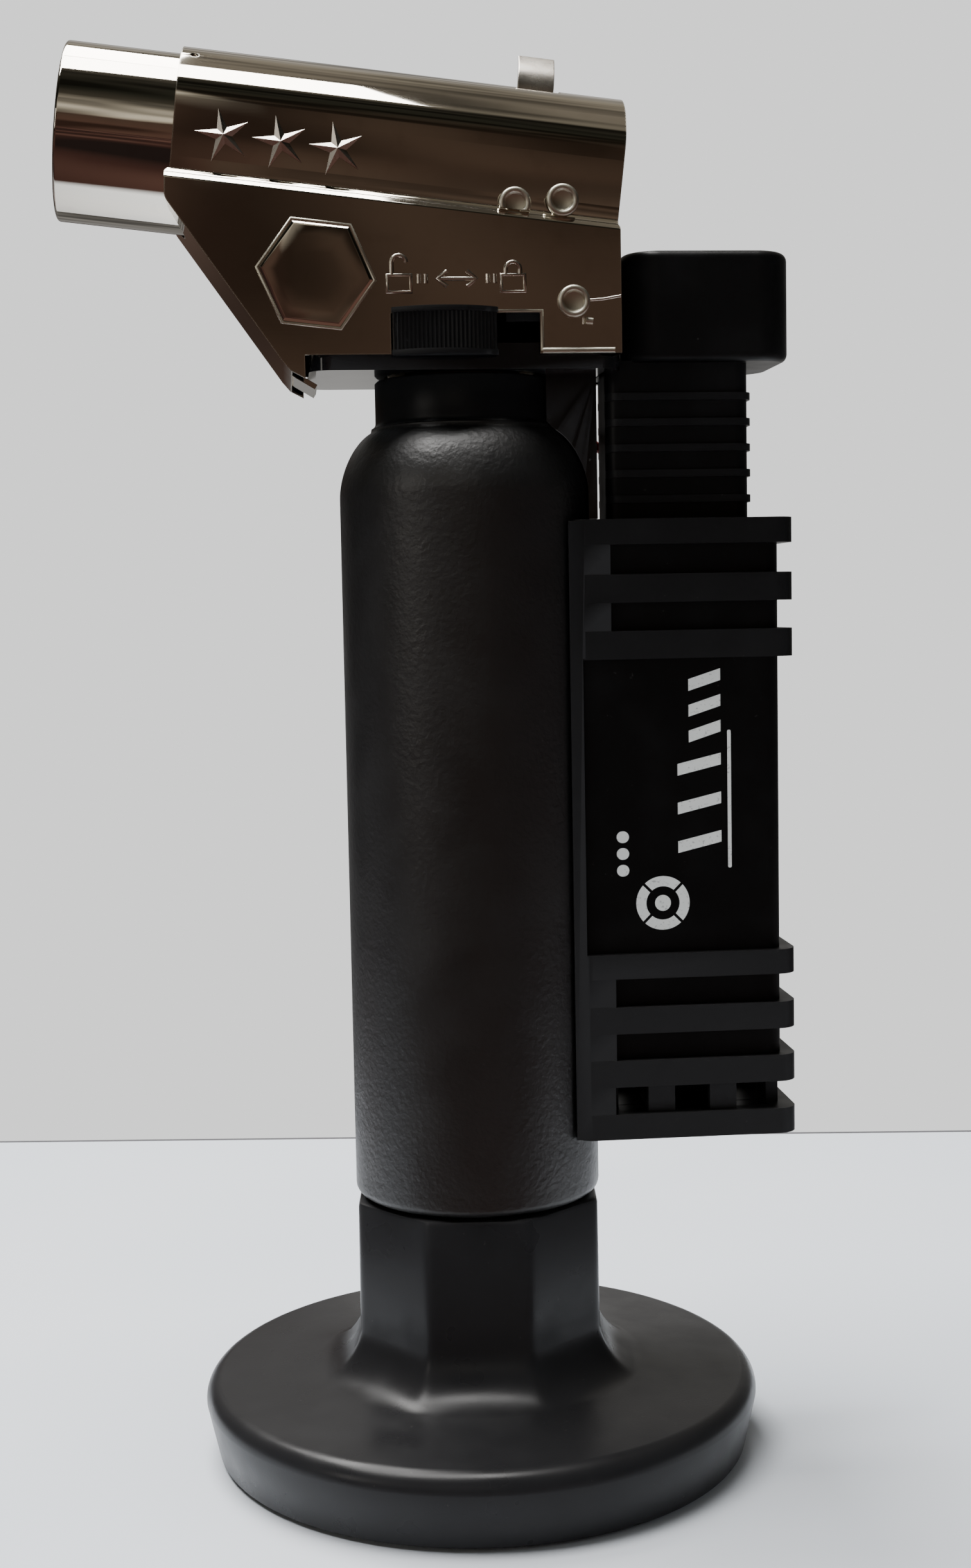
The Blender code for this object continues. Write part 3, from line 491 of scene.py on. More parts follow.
# each finish: how it is made, its colour, then the maker's other values in their order
FINISHES = {
    "tank_paint": (moulded, (0.0045, 0.0045, 0.0048), 0.38, 0.50, 0.75, 0.13, 1.0),
    "stand_plastic": (moulded, (0.0145, 0.0145, 0.0156), 0.26, 0.38, 0.25, 0.012, 0.25),
    "black_plastic": (moulded, (0.0036, 0.0036, 0.0038), 0.34, 0.46, 0.3, 0.016, 0.2),
    # the grip's last value turns on the painted light from the table on its lower faces
    "grip_plastic": (moulded, (0.0030, 0.0030, 0.0032), 0.36, 0.48, 0.3, 0.016, 0.2, True),
    "gloss_plastic": (moulded, (0.0025, 0.0025, 0.0027), 0.05, 0.11, 0.4, 0.001, 0.5),
    "pad_plastic": (moulded, (0.0045, 0.0045, 0.0048), 0.42, 0.55, 0.2, 0.02, 0.3),
    "chrome": (mirror, (0.70, 0.655, 0.575), 0.035, 0.3, (0.5, 0.44, 0.36), 0.035),
    "stamped": (metal, (0.82, 0.77, 0.69), 0.22, 0.34, (0.5, 0.44, 0.36)),
    "worn_plate": (metal, (0.84, 0.82, 0.70), 0.36, 0.50, (0.5, 0.46, 0.36)),
    "steel": (metal, (0.66, 0.64, 0.58), 0.22, 0.42, (0.3, 0.28, 0.25), 0.012),
    "brass": (metal, (0.75, 0.53, 0.24), 0.2, 0.38, (0.4, 0.26, 0.12), 0.008),
    "blued_steel": (metal, (0.34, 0.27, 0.25), 0.2, 0.4, (0.12, 0.1, 0.16), 0.01),
    "rubber": (plain, (0.018, 0.018, 0.018), 0.8, (3, 0.7, 0.9),
               (1.5, 4, (0.05, 0.048, 0.045), 0.5, 0.8, 0.6), (0.4, 0.03)),
    "ceramic": (plain, (0.83, 0.80, 0.74), 0.3, (1.5, 0.22, 0.45),
                (2, 4, (0.45, 0.38, 0.3), 0.55, 0.8, 0.5), (0.5, 0.01)),
    "white_plastic": (plain, (0.72, 0.70, 0.65), 0.4, (4, 0.32, 0.5),
                      (5, 3, (0.5, 0.47, 0.4), 0.5, 0.8, 0.4), (0.3, 0.008)),
    "wire_cover": (plain, (0.42, 0.025, 0.02), 0.45, (2, 0.35, 0.6),
                   (1.2, 3, (0.2, 0.02, 0.02), 0.5, 0.8, 0.5), (0.5, 0.01)),
    "white_print": (plain, (0.66, 0.66, 0.63), 0.5, (1.2, 0.42, 0.6),
                    (0.35, 3, (0.16, 0.16, 0.16), 0.6, 0.72, 0.6), (0.25, 0.01)),
}
LOOKS = {name: make(name, *values) for name, (make, *values) in FINISHES.items()}


# ---- mesh helpers

def arc(centre, radius, start, end, count):
    """Points on an arc in degrees; radius may be one number or (across, up)."""
    across, up = radius if isinstance(radius, tuple) else (radius, radius)
    turns = [math.radians(start + (end - start) * i / count) for i in range(count + 1)]
    return [(centre[0] + across * math.cos(a), centre[1] + up * math.sin(a)) for a in turns]


def rounded(x, y, radius, count=8):
    """A rectangle with round corners."""
    (x0, x1), (y0, y1) = x, y
    corners = (((x1 - radius, y1 - radius), 0), ((x0 + radius, y1 - radius), 90),
               ((x0 + radius, y0 + radius), 180), ((x1 - radius, y0 + radius), 270))
    return [p for centre, start in corners for p in arc(centre, radius, start, start + 90, count)]


def put(name, shape, place=PLAN, look=None):
    """Turn a bmesh in millimetres into an object in metres, in the world's frame."""
    bmesh.ops.recalc_face_normals(shape, faces=shape.faces)
    mesh = bpy.data.meshes.new(name)
    shape.to_mesh(mesh)
    shape.free()
    mesh.transform(place @ Matrix.Scale(MM, 4))
    if look:
        mesh.materials.append(LOOKS[look])
    return add(name, mesh)


def bridge(shape, rings):
    """Walls between each ring of points and the next; a ring may be a single point."""
    for a, b in zip(rings, rings[1:]):
        for i in range(max(len(a), len(b))):
            j = i + 1
            corners = (a[i % len(a)], a[j % len(a)], b[j % len(b)], b[i % len(b)])
            shape.faces.new(list(dict.fromkeys(corners)))


def extrude(shape, outline, low, high):
    """A closed outline in XY, from low to high along Z."""
    floor, roof = ([shape.verts.new((x, y, z)) for x, y in outline] for z in (low, high))
    shape.faces.new(floor[::-1])
    shape.faces.new(roof)
    bridge(shape, (floor, roof))


def prism(name, outline, low, high, place=PLAN, look=None):
    shape = bmesh.new()
    extrude(shape, outline, low, high)
    return put(name, shape, place, look)


def box(name, x, y, z, place=PLAN, look=None):
    outline = [(x[0], y[0]), (x[1], y[0]), (x[1], y[1]), (x[0], y[1])]
    return prism(name, outline, z[0], z[1], place, look)


def ring(shape, radius, height, steps, facet=0):
    """Points round Z, or one on it; facet blends from a circle to the octagon."""
    if radius == 0:
        return [shape.verts.new((0, 0, height))]
    turns = [math.tau * i / steps for i in range(steps)]
    reach = [radius * octagon(turn) ** facet if facet else radius for turn in turns]
    return [shape.verts.new((r * math.cos(turn), r * math.sin(turn), height))
            for r, turn in zip(reach, turns)]


def lathe(name, profile, place=PLAN, look=None, steps=96, close=True):
    """Turn (radius, height) points about Z; a radius of 0 becomes a single point."""
    shape = bmesh.new()
    rings = [ring(shape, radius, height, steps) for radius, height in profile]
    if close:
        rings.append(rings[0])
    bridge(shape, rings)
    return put(name, shape, place, look)


def rod(name, centre, radius, low, high, place=PLAN, look=None, steps=48):
    return lathe(name, [(0, low), (radius, low), (radius, high), (0, high)],
                 place @ Matrix.Translation((centre[0] * MM, centre[1] * MM, 0)), look, steps,
                 False)


def bake(item):
    """Apply an object's modifiers."""
    bpy.context.view_layer.update()
    evaluated = item.evaluated_get(bpy.context.evaluated_depsgraph_get())
    mesh = bpy.data.meshes.new_from_object(evaluated)
    item.modifiers.clear()
    old = item.data
    item.data = mesh
    bpy.data.meshes.remove(old)
    return item


def combine(item, operation, *others):
    for other in others:
        step = item.modifiers.new(other.name, "BOOLEAN")
        step.operation = operation
        step.solver = "EXACT"
        step.object = other
    bake(item)
    for other in others:
        bpy.data.objects.remove(other, do_unlink=True)
    return item


def cut(item, *others):
    return combine(item, "DIFFERENCE", *others)


def join(item, *others):
    return combine(item, "UNION", *others)


def cleaned(item):
    """The item's mesh with its doubled points welded and its flat faces whole."""
    shape = bmesh.new()
    shape.from_mesh(item.data)
    bmesh.ops.remove_doubles(shape, verts=shape.verts, dist=WELD)
    bmesh.ops.dissolve_limit(shape, angle_limit=FLAT, verts=shape.verts, edges=shape.edges)
    return shape


def soften(item, width, segments=3, angle=35, sharp=40):
    """Round the edges and shade the piece smooth."""
    shape = cleaned(item)
    shape.to_mesh(item.data)
    shape.free()
    if width:
        step = item.modifiers.new("edge", "BEVEL")
        step.width = width * MM
        step.segments = segments
        step.limit_method = "ANGLE"
        step.angle_limit = math.radians(angle)
        step.harden_normals = False
        step.use_clamp_overlap = True
        bake(item)
    smooth(item, sharp)
    step = item.modifiers.new("weight", "WEIGHTED_NORMAL")
    step.keep_sharp = True
    return bake(item)


def smooth(item, sharp=40):
    item.data.shade_smooth()
    item.data.set_sharp_from_angle(angle=math.radians(sharp))
    return item


def ready(item, body, slot, *nodes):
    """Ride on a body and stand for its CAD nodes; the slot is not used."""
    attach(item, body)
    if nodes:
        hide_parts(*nodes)
    return item


# ---- carried CAD nodes

CARRIED = {
    "steel": ("ballast_plate", "refill_stem", "valve_stem", "valve_spring", "gas_lever",
              "return_spring", "electrode"),
    "blued_steel": ("flame_nozzle",),
    "brass": ("refill_valve", "valve_body", "burner_base", "flame_holder", "mixing_tube",
              "gas_jet", "gas_tube"),
    "rubber": ("foot_pad", "neck_seal"),
    "ceramic": ("electrode_insulator",),
    "white_plastic": ("igniter_plunger",),
    "wire_cover": ("ignition_wire",),
    "black_plastic": ("tank_foot", "chassis", "igniter_body"),
}
WIRES = ("valve_spring", "return_spring", "ignition_wire", "gas_tube", "electrode")


def dress_carried():
    """Give the nodes that stay in view a finish, and shade their round faces smooth."""
    for look, names in CARRIED.items():
        for name in names:
            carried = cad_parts[name]
            mesh = carried.data
            mesh.materials.clear()
            mesh.materials.append(LOOKS[look])
            if "custom_normal" in mesh.attributes:
                mesh.attributes.remove(mesh.attributes["custom_normal"])
            mesh.shade_smooth()
            weld = carried.modifiers.new("weld", "WELD")
            weld.merge_threshold = WELD
            if name not in WIRES:
                edge = carried.modifiers.new("edge", "BEVEL")
                edge.width = 0.12 * MM
                edge.segments = 2
                edge.limit_method = "ANGLE"
                edge.angle_limit = math.radians(50)
            split = carried.modifiers.new("split", "EDGE_SPLIT")
            split.split_angle = math.radians(80 if name in WIRES else 35)


# ---- stand

def octagon(turn, sharpness=70):
    """How much further than a flat an octagon with softened corners reaches at a turn."""
    total = sum(max(0.0, math.cos(turn - math.radians(COLLAR_TURN) - k * math.pi / 4)) ** sharpness
                for k in range(8))
    return total ** (-1 / sharpness)


def build_stand():
    """A disc with a rounded rim that flares up into the eight-sided collar."""
    flare, core, flare_top, rim, count = 7.4, 16.8, 18.9, 2.6, 18
    flat = COLLAR_FLAT_TOP / 2
    # radius, height and how eight-sided each ring is
    rows = [(0, 6.6, 0), (RECESS_RADIUS, 6.6, 0), (RECESS_RADIUS, 0.3, 0),
            (FOOT_RADIUS - 0.6, 0.3, 0), (FOOT_RADIUS - 0.2, 0.4, 0), (FOOT_RADIUS, 0.7, 0)]
    rows += [(r, z, 0) for r, z in arc((RIM_RADIUS - rim, RIM_TOP - rim), rim, -4, 84, 14)]
    rows += [(30.0, 10.95, 0)]
    for i, (r, z) in enumerate(arc((core + flare, flare_top), flare, 264, 186, count)):
        rows.append((r, z, 1 - (1 - i / count) ** 2.6))
    rows += [(core + 0.02, flare_top + 1, 1), (flat + 0.02, 35.7, 1), (flat - 0.15, 36.15, 1),
             (flat - 0.5, COLLAR_TOP, 1), (COLLAR_BORE + 0.4, COLLAR_TOP, 0),
             (COLLAR_BORE, COLLAR_TOP - 0.4, 0), (COLLAR_BORE, BORE_FLOOR, 0),
             (0, BORE_FLOOR, 0)]
    shape = bmesh.new()
    bridge(shape, [ring(shape, radius, height, 208, facet) for radius, height, facet in rows])
    stand = put("stand_base", shape, PLAN, "stand_plastic")
    ready(smooth(stand, 32), "stand", "stand_plastic", "stand")


# ---- tank

def shoulder(clear):
    """The tank's shoulder from neck to wall, sloping straighter than an ellipse."""
    across, straighter = TANK_RADIUS - SHOULDER_INNER, 1.16
    return [(SHOULDER_INNER + clear + across * math.cos(a) ** straighter,
             SHOULDER_FOOT + clear / 3 + SHOULDER_HEIGHT * math.sin(a) ** straighter)
            for a in (math.radians(75 - 75 * i / 22) for i in range(22))]


def build_tank():
    wall, neck_bore, foot_bore, floor = 1.1, 10.7, 4.1, 38.0
    outer = [(NECK_RADIUS - 0.3, NECK_TOP), (NECK_RADIUS, NECK_TOP - 0.3), (NECK_RADIUS, 144.9)]
    outer += arc((NECK_RADIUS + 0.9, 144.2), 0.9, 175, 250, 5)
    outer += shoulder(0) + [(TANK_RADIUS, SHOULDER_FOOT - 0.2), (TANK_RADIUS, TANK_FOOT + 1.6)]
    outer += arc((TANK_RADIUS - 1.2, TANK_FOOT + 1.2), 1.2, 0, -90, 6)
    inner = [(foot_bore, TANK_FOOT), (foot_bore, floor), (TANK_RADIUS - wall, floor),
             (TANK_RADIUS - wall, SHOULDER_FOOT)]
    inner += arc((SHOULDER_INNER, SHOULDER_FOOT),
                 (TANK_RADIUS - SHOULDER_INNER - wall, SHOULDER_HEIGHT - wall), 10, 90, 8)
    inner += [(neck_bore, 142.0), (neck_bore, NECK_TOP)]
    tank = lathe("tank_body", outer + inner, PLAN, "tank_paint", 160)
    # the neck gets the duller, darker black plastic: painted shade under the head plate
    tank.data.materials.append(LOOKS["black_plastic"])
    for face in tank.data.polygons:
        if face.center.z > NECK_FOOT * MM:
            face.material_index = 1
    ready(smooth(tank, 50), "torch", "tank_paint", "tank")


# ---- head

def build_head_plate():
    outline = rounded((PLATE_LEFT, PLATE_RIGHT), (-PLATE_HALF, PLATE_HALF), 3.0)
    plate = prism("plate_body", outline, PLATE_FOOT, PLATE_TOP, PLAN, "gloss_plastic")
    bracket = box("bracket", (10.0, COLUMN[0] - 1.15), (-6.0, 6.0), (130.5, PLATE_FOOT + 1))
    around = [(0, PLATE_FOOT), (NECK_RADIUS + CLEAR, PLATE_FOOT), (NECK_RADIUS + CLEAR, 143.8)]
    around += shoulder(CLEAR) + [(TANK_RADIUS + CLEAR, 120), (0, 120)]
    cut(bracket, lathe("tank_room", around, PLAN, None, 96, False))
    tail = rounded((0, SHELL_REAR + 0.2), (-PLATE_HALF, PLATE_HALF), 3.0)
    join(plate, prism("plate_tail", tail, PLATE_FOOT, SHELL_FOOT - 0.3), bracket)
    cut(plate, rod("valve_hole", (0, 0), 8.3, 140, 160),
        rod("wire_hole", (15.6, 9.3), 1.1, 140, 160),
        box("column_notch", (COLUMN[0] - 0.5, 30), (-8.3, 8.3), (140, 160)))
    ready(soften(plate, 0.3, 3), "torch", "black_plastic", "head_plate")


def arch(half, top, thick):
    """Section of the shell above the ledge: slightly bellied sides under a round top."""
    radius, corner = 14.0 - thick, 5.0 - thick
    centre = top - thick - radius
    side = half - thick
    lean = math.degrees(math.acos((side - corner) / (radius - corner)))
    spring = centre + math.sin(math.radians(lean)) * (radius - corner)
    belly = [(spring - drop, side - 0.0045 * drop ** 2)
             for drop in (0.75 * i for i in range(12, 0, -1))]
    half_outline = [(-30, belly[0][1])] + belly + [(spring, side)]
    half_outline += [(spring + corner * math.sin(a), side - corner + corner * math.cos(a))
                     for a in (math.radians(lean) * i / 14 for i in range(1, 15))]
    half_outline += [(centre + radius * math.sin(a), radius * math.cos(a))
                     for a in (math.radians(lean + (90 - lean) * i / 28) for i in range(1, 29))]
    return half_outline + [(up, -across) for up, across in reversed(half_outline[:-1])]


def ledge_section(thick):
    """Section of the wider part under the ledge; its step has round edges and a fine line."""
    wide, lean, bend = SHELL_HALF + JOGGLE - thick, math.radians(38), 0.4
    points = [(-30, wide), (-6, wide)]
    up, across = -0.85, wide
    points += [(up + bend * math.sin(lean * i / 6), across - bend * (1 - math.cos(lean * i / 6)))
               for i in range(7)]
    up, across = points[-1]
    slope = math.tan(lean)
    for rise, drop in ((0.50, 0.50 * slope), (0.02, 0.08), (0.10, 0.02), (0.50, 0.50 * slope)):
        up, across = up + rise, across - drop
        points.append((up, across))
    points.append((up + 0.3, across - 0.45))
    return points + [(u, -w) for u, w in reversed(points)]


def shell_outline(inset):
    """Side view of the shell in x and z; the inset leaves its front and rear walls."""
    ledge_rear = 168.8
    over = 200.0
    rear_top = SHELL_REAR - 0.2 + (over - ledge_rear) * math.tan(math.radians(BURNER_TILT))
    foot, upper = Vector(SLOPE_FOOT), Vector(SLOPE_TOP)
    slope = (foot - upper).normalized()
    side = Vector((-slope.y, slope.x)) * inset
    outline = [(rear_top - inset, over), (SHELL_REAR - 0.2 - inset, ledge_rear),
               (SHELL_REAR - inset, ledge_rear - 0.4)]
    if inset:
        low = 138.0
        return outline + [(SHELL_REAR - inset, low), (foot.x + side.x + 0.9, low),
                          (foot.x + side.x + 0.9, foot.y - 1.2), tuple(foot + side),
                          tuple(upper + side), (SHELL_FRONT + inset, 173.3),
                          (SHELL_FRONT + inset, 176), (-60, 176), (-60, over)]
    corner = 2.0
    lean = math.degrees(math.atan2(foot.x - upper.x, upper.y - foot.y))
    outline += [(SHELL_REAR, 149), (LIP[0][0] + 2.9, 149), (LIP[0][0] + 1.0, 150.0)]
    outline += [tuple(foot)]
    outline += arc((SHELL_FRONT + corner, 172.86), corner, 180 + lean, 180, 8)
    return outline + [(SHELL_FRONT + 0.1, 175.7), (SHELL_FRONT + 0.8, 176.4),
                      (SHELL_FRONT + 3.5, over)]


def hexagon(radius):
    x, z = HEXAGON
    return [(x + radius * math.cos(a), z + radius * math.sin(a))
            for a in (math.radians(60 * i - LEDGE_TILT) for i in range(6))]


def panel_boss(name, side, face):
    """A raised six-sided panel with bevelled flanks and a slightly domed top."""
    shape = bmesh.new()
    rings = [[shape.verts.new((x, side * (face + high), z))
              for x, z in hexagon(HEXAGON_RADIUS - inset)]
             for inset, high in ((-0.1, -0.3), (0.0, 0.0), (0.16, 0.13), (0.62, 0.44),
                                 (0.82, 0.5), (2.4, 0.545), (4.6, 0.57))]
    shape.faces.new(rings[0])
    shape.faces.new(rings[-1])
    bridge(shape, rings)
    return put(name, shape)


def bend_edges(item, width, segments, chosen):
    """Round the edges whose middle (in mm) and two face normals are chosen."""
    shape = cleaned(item)
    shape.normal_update()
    edges = [edge for edge in shape.edges if len(edge.link_faces) == 2 and chosen(
        (edge.verts[0].co + edge.verts[1].co) / (2 * MM),
        *sorted((face.normal for face in edge.link_faces), key=lambda n: -abs(n.y)))]
    bmesh.ops.bevel(shape, geom=edges, offset=width * MM, segments=segments, profile=0.5,
                    affect="EDGES", clamp_overlap=True)
    shape.to_mesh(item.data)
    shape.free()
    return item


def build_head_shell():
    shell = prism("shell_body", arch(SHELL_HALF, SHELL_RISE, 0), -40, 45, BURNER, "chrome")
    join(shell, prism("lower_shell", ledge_section(0), -40, 45, LEDGE))
    combine(shell, "INTERSECT", prism("shell_outside", shell_outline(0), -30, 30, FRONT))
    cut(shell, box("foot_cut", (LIP[0][0] + 2.9, 40), (-30, 30), (140, SHELL_FOOT)),
        box("slot_step", LOCK_SLOT, (-30, -8), (140, LOCK_SLOT_TOP)))
    bend_edges(shell, 1.0, 5, lambda middle, side, other: abs(side.y) > 0.9
               and abs(other.y) < 0.1 and (other.x > 0.5 or other.x < -0.3 and middle.z < 172.5
                                           or other.z < -0.9 and middle.z < 160))
    hollow = prism("shell_hollow", arch(SHELL_HALF, SHELL_RISE, SHEET), -40, 70, BURNER)
    join(hollow, prism("lower_hollow", ledge_section(SHEET), -40, 70, LEDGE))
    combine(hollow, "INTERSECT", prism("shell_inside", shell_outline(SHEET), -30, 30, FRONT))
    cut(shell, hollow)
    inner = [(x + 0.35, z + 0.6) for x, z in reversed(LIP)]
    lip = prism("lip", list(LIP) + inner, -LIP_HALF, LIP_HALF, FRONT)
    face = SHELL_HALF + JOGGLE
    join(shell, lip, *(panel_boss(f"panel_{side}", side, face) for side in (-1, 1)))
    cut(shell, box("lock_slot", LOCK_SLOT, (-30, 0), (140, LOCK_SLOT_TOP)),
        rod("tube_room", (0, 0), TUBE_RADIUS + CLEAR, 0, 90, BURNER, None, 128),
        box("tab_slot", (9, 16), (-5.4, 5.4), (TAB[0] - 0.5, TAB[1] + 0.5), BURNER),
        box("lever_slot", (18, 24), (-4, 4), (155.9, 160.4)))
    dimple = BURNER @ Matrix.Translation(Vector((10.4, -8.0, 36.4)) * MM)
    cut(shell, rod("top_hole", (0, 0), 0.55, -0.8, 0.8,
                   dimple @ Matrix.Rotation(math.radians(50), 4, "X")
                   @ Matrix.Rotation(math.radians(90), 4, "Y"), None, 24))
    ready(soften(shell, 0.1, 2, 30, 32), "torch", "chrome", "head_shell")


def build_stars():
    """Three five-pointed stars with sharp ridges on each side of the shell."""
    face = SHELL_HALF - 0.05
    for side, label in ((-1, "front"), (1, "rear")):
        shape = bmesh.new()
        for along in STARS:
            centre = BURNER @ (Vector((STAR_UP, 0, along)) * MM) / MM
            crown, sink = (shape.verts.new((centre.x, side * (face + rise), centre.z))
                           for rise in (STAR_HEIGHT, -0.3))
            points = [(math.radians(99 + 36 * i), STAR_VALLEY if i % 2 else STAR_TIP)
                      for i in range(10)]
            rim = [shape.verts.new((centre.x + reach * math.cos(turn), side * face,
                                    centre.z + reach * math.sin(turn)))
                   for turn, reach in points]
            for a, b in zip(rim, rim[1:] + rim[:1]):
                shape.faces.new((a, b, crown))
                shape.faces.new((b, a, sink))
        ready(put(f"stars_{label}", shape, PLAN, "stamped"), "torch", "chrome")


def stroke(name, lines, radius, look):
    """Round raised lines, each a list of points and whether it closes, as one mesh."""
    curve = bpy.data.curves.new(name, "CURVE")
    curve.dimensions = "3D"
    curve.bevel_depth = radius * MM
    curve.bevel_resolution = 3
    curve.use_fill_caps = True
    for points, cyclic in lines:
        spline = curve.splines.new("POLY")
        spline.points.add(len(points) - 1)
        for point, place in zip(spline.points, points):
            point.co = (*(Vector(place) * MM), 1)
        spline.use_cyclic_u = cyclic
    made = add(name, curve)
    bpy.context.view_layer.update()
    evaluated = made.evaluated_get(bpy.context.evaluated_depsgraph_get())
    mesh = bpy.data.meshes.new_from_object(evaluated)
    bpy.data.objects.remove(made, do_unlink=True)
    mesh.materials.clear()
    mesh.materials.append(LOOKS[look])
    return smooth(add(name, mesh), 60)


def padlock(x, z, lift):
    """Outline of a small padlock; lift opens its shackle."""
    half, low, high = 1.55, -2.1, 0.1
    body = [(x - half, z + low), (x + half, z + low), (x + half, z + high), (x - half, z + high)]
    shackle = [(x - 0.95, z + high)] + [(x + dx, z + dz + lift) for dx, dz in
                                        arc((0, high + 0.7), 0.95, 180, 0, 8)]
    if not lift:
        shackle.append((x + 0.95, z + high))
    return [(body, True), (shackle, False)]


def build_legend():
    """Raised signs over the lock slider: open lock, a two-way arrow, closed lock."""
    x, z = LEGEND
    lines = padlock(x - 7.6, z, 0.9) + padlock(x + 7.4, z, 0)
    lines.append(([(x - 2.4, z - 0.4), (x + 2.4, z - 0.4)], False))
    for side in (-1, 1):
        tip, wing = x + side * 2.6, x + side * 1.3
        lines.append(([(wing, z + 0.6), (tip, z - 0.4), (wing, z - 1.4)], False))
        for bar in (x + side * 4.1, x + side * 5.0):
            lines.append(([(bar, z - 1.0), (bar, z + 0.2)], False))
    face = -(SHELL_HALF + JOGGLE)
    lines = [([(px, face, pz) for px, pz in points], cyclic) for points, cyclic in lines]
    ready(stroke("legend_signs", lines, 0.31, "stamped"), "torch", "chrome")


def build_shell_marks():
    """The crease, the slit and the bead beside the lever pin."""
    face = -(SHELL_HALF + JOGGLE)
    x, z = LEVER_PIVOT
    crease = [(x + 1.9, face, z + 0.15), (x + 4.0, face, z + 0.3),
              (SHELL_REAR - 0.1, face, z + 0.7)]
    bead = [(x + 1.6, face, z - 2.5), (x + 2.5, face, z - 2.6)]
    slit = [(x + 1.3, face, z - 2.0), (x + 1.3, face, z - 3.0)]
    marks = stroke("shell_marks", [(crease, False), (slit, False)], 0.2, "stamped")
    ready(marks, "torch", "chrome")
    ready(stroke("shell_bead", [(bead, False)], 0.5, "worn_plate"), "torch", "chrome")


def build_hems():
    """Worn, rolled edges round the sheet's cut-outs and round the hexagons."""
    face = SHELL_HALF + JOGGLE - 0.12
    over, left = LOCK_SLOT_TOP + 0.25, LOCK_SLOT[1] + 0.3
    low, right = SHELL_FOOT + 0.35, SHELL_REAR - 0.28
    slot = [(LOCK_SLOT[0] + 0.3, -face, over), (left, -face, over), (left, -face, low)]
    thin = [(slot, False)]
    thick = [([(left, -face, low), (right - 0.7, -face, low)], False),
             ([(LIP[0][0] + 4.0, face, low), (right - 0.7, face, low)], False)]
    for side in (-1, 1):
        thin.append(([(right, side * (face - 0.26), z) for z in (low, 168.2)], False))
        thin.append(([(x, side * (face + 0.12), z) for x, z in hexagon(HEXAGON_RADIUS)], True))
    ready(stroke("shell_hem_thin", thin, 0.27, "worn_plate"), "torch", "chrome")
    ready(stroke("shell_hem_thick", thick, 0.42, "worn_plate"), "torch", "chrome")


def rivet_profile(radius, height):
    """A tubular rivet's rolled head around its dished middle."""
    lip = 0.42
    profile = [(0, 0.16), (radius * 0.35, 0.18), (radius - 2 * lip - 0.1, 0.30)]
    profile += arc((radius - lip, height - lip), lip, 150, 0, 8)
    return profile + [(radius - 0.02, 0), (1.0, 0), (1.0, -2.4), (0, -2.4)]


def build_rivets():
    for i, (x, z) in enumerate(RIVETS):
        for side, label in ((-1, "front"), (1, "rear")):
            place = Matrix.Translation(Vector((x, side * (SHELL_HALF + 0.05), z)) * MM)
            place = place @ Matrix.Rotation(math.radians(-90 * side), 4, "X")
            rivet = lathe(f"rivet_{label}_{i + 1}", rivet_profile(2.15, 0.72), place,
                          "worn_plate", 48, False)
            if i:
                cut(rivet, box("ledge_room", (-20, 0.35), (-30, 30), (-60, 60), LEDGE))
            ready(smooth(rivet, 35), "torch", "steel", f"head_rivet_{label}_{i + 1}")
    x, z = LEVER_PIVOT
    face = SHELL_HALF + JOGGLE + 0.05
    half = rivet_profile(2.15, 0.78)[:-3]
    shape = [(r, face + h) for r, h in half] + [(2.13, face), (1.0, face)]
    shape += [(r, -h) for r, h in reversed(shape)]
    pin = lathe("pin_body", shape, Matrix.Translation((x * MM, 0, z * MM)) @ FRONT,
                "worn_plate", 48, False)
    ready(smooth(pin, 35), "torch", "steel", "lever_pin")


# ---- burner

def build_burner_tube():
    inner, lip = TUBE_RADIUS - TUBE_WALL, TUBE_WALL / 2
    profile = [(TUBE_RADIUS, TUBE_REAR), (inner, TUBE_REAR), (inner, TUBE_MOUTH - 0.4)]
    profile += arc((TUBE_RADIUS - lip, TUBE_MOUTH - lip), lip, 180, 0, 10)
    tube = lathe("tube_body", profile, BURNER, "chrome", 160)
    ready(smooth(tube, 50), "torch", "chrome", "burner_tube")


def build_air_shutter():
    """The turning sleeve and its curled tab."""
    sleeve = lathe("shutter_body", [(5.6, -4.7), (5.4, -4.5), (4.9, -4.5), (4.9, -13.8),
                                    (5.4, -13.8), (5.6, -13.6)], BURNER, "stamped", 96)
    hole = BURNER @ Matrix.Rotation(math.radians(90), 4, "X")
    cut(sleeve, rod("shutter_hole", (0, 9.5), 1.6, -9, 9, hole, None, 40))
    spine = [(5.3, 0.0), (9.0, 0.0), (12.0, 0.0)]
    spine += [(12.6 + (TAB_TOP - 12.6) * t, -3.0 * t * t) for t in (i / 12 for i in range(13))]
    half = 0.35
    outline = [(u, -y - half) for u, y in spine] + [(u, -y + half) for u, y in reversed(spine)]
    join(sleeve, prism("tab", outline, TAB[0], TAB[1], BURNER))
    ready(soften(sleeve, 0.12, 2, 35, 35), "shutter", "chrome", "air_shutter")


# ---- lock slider

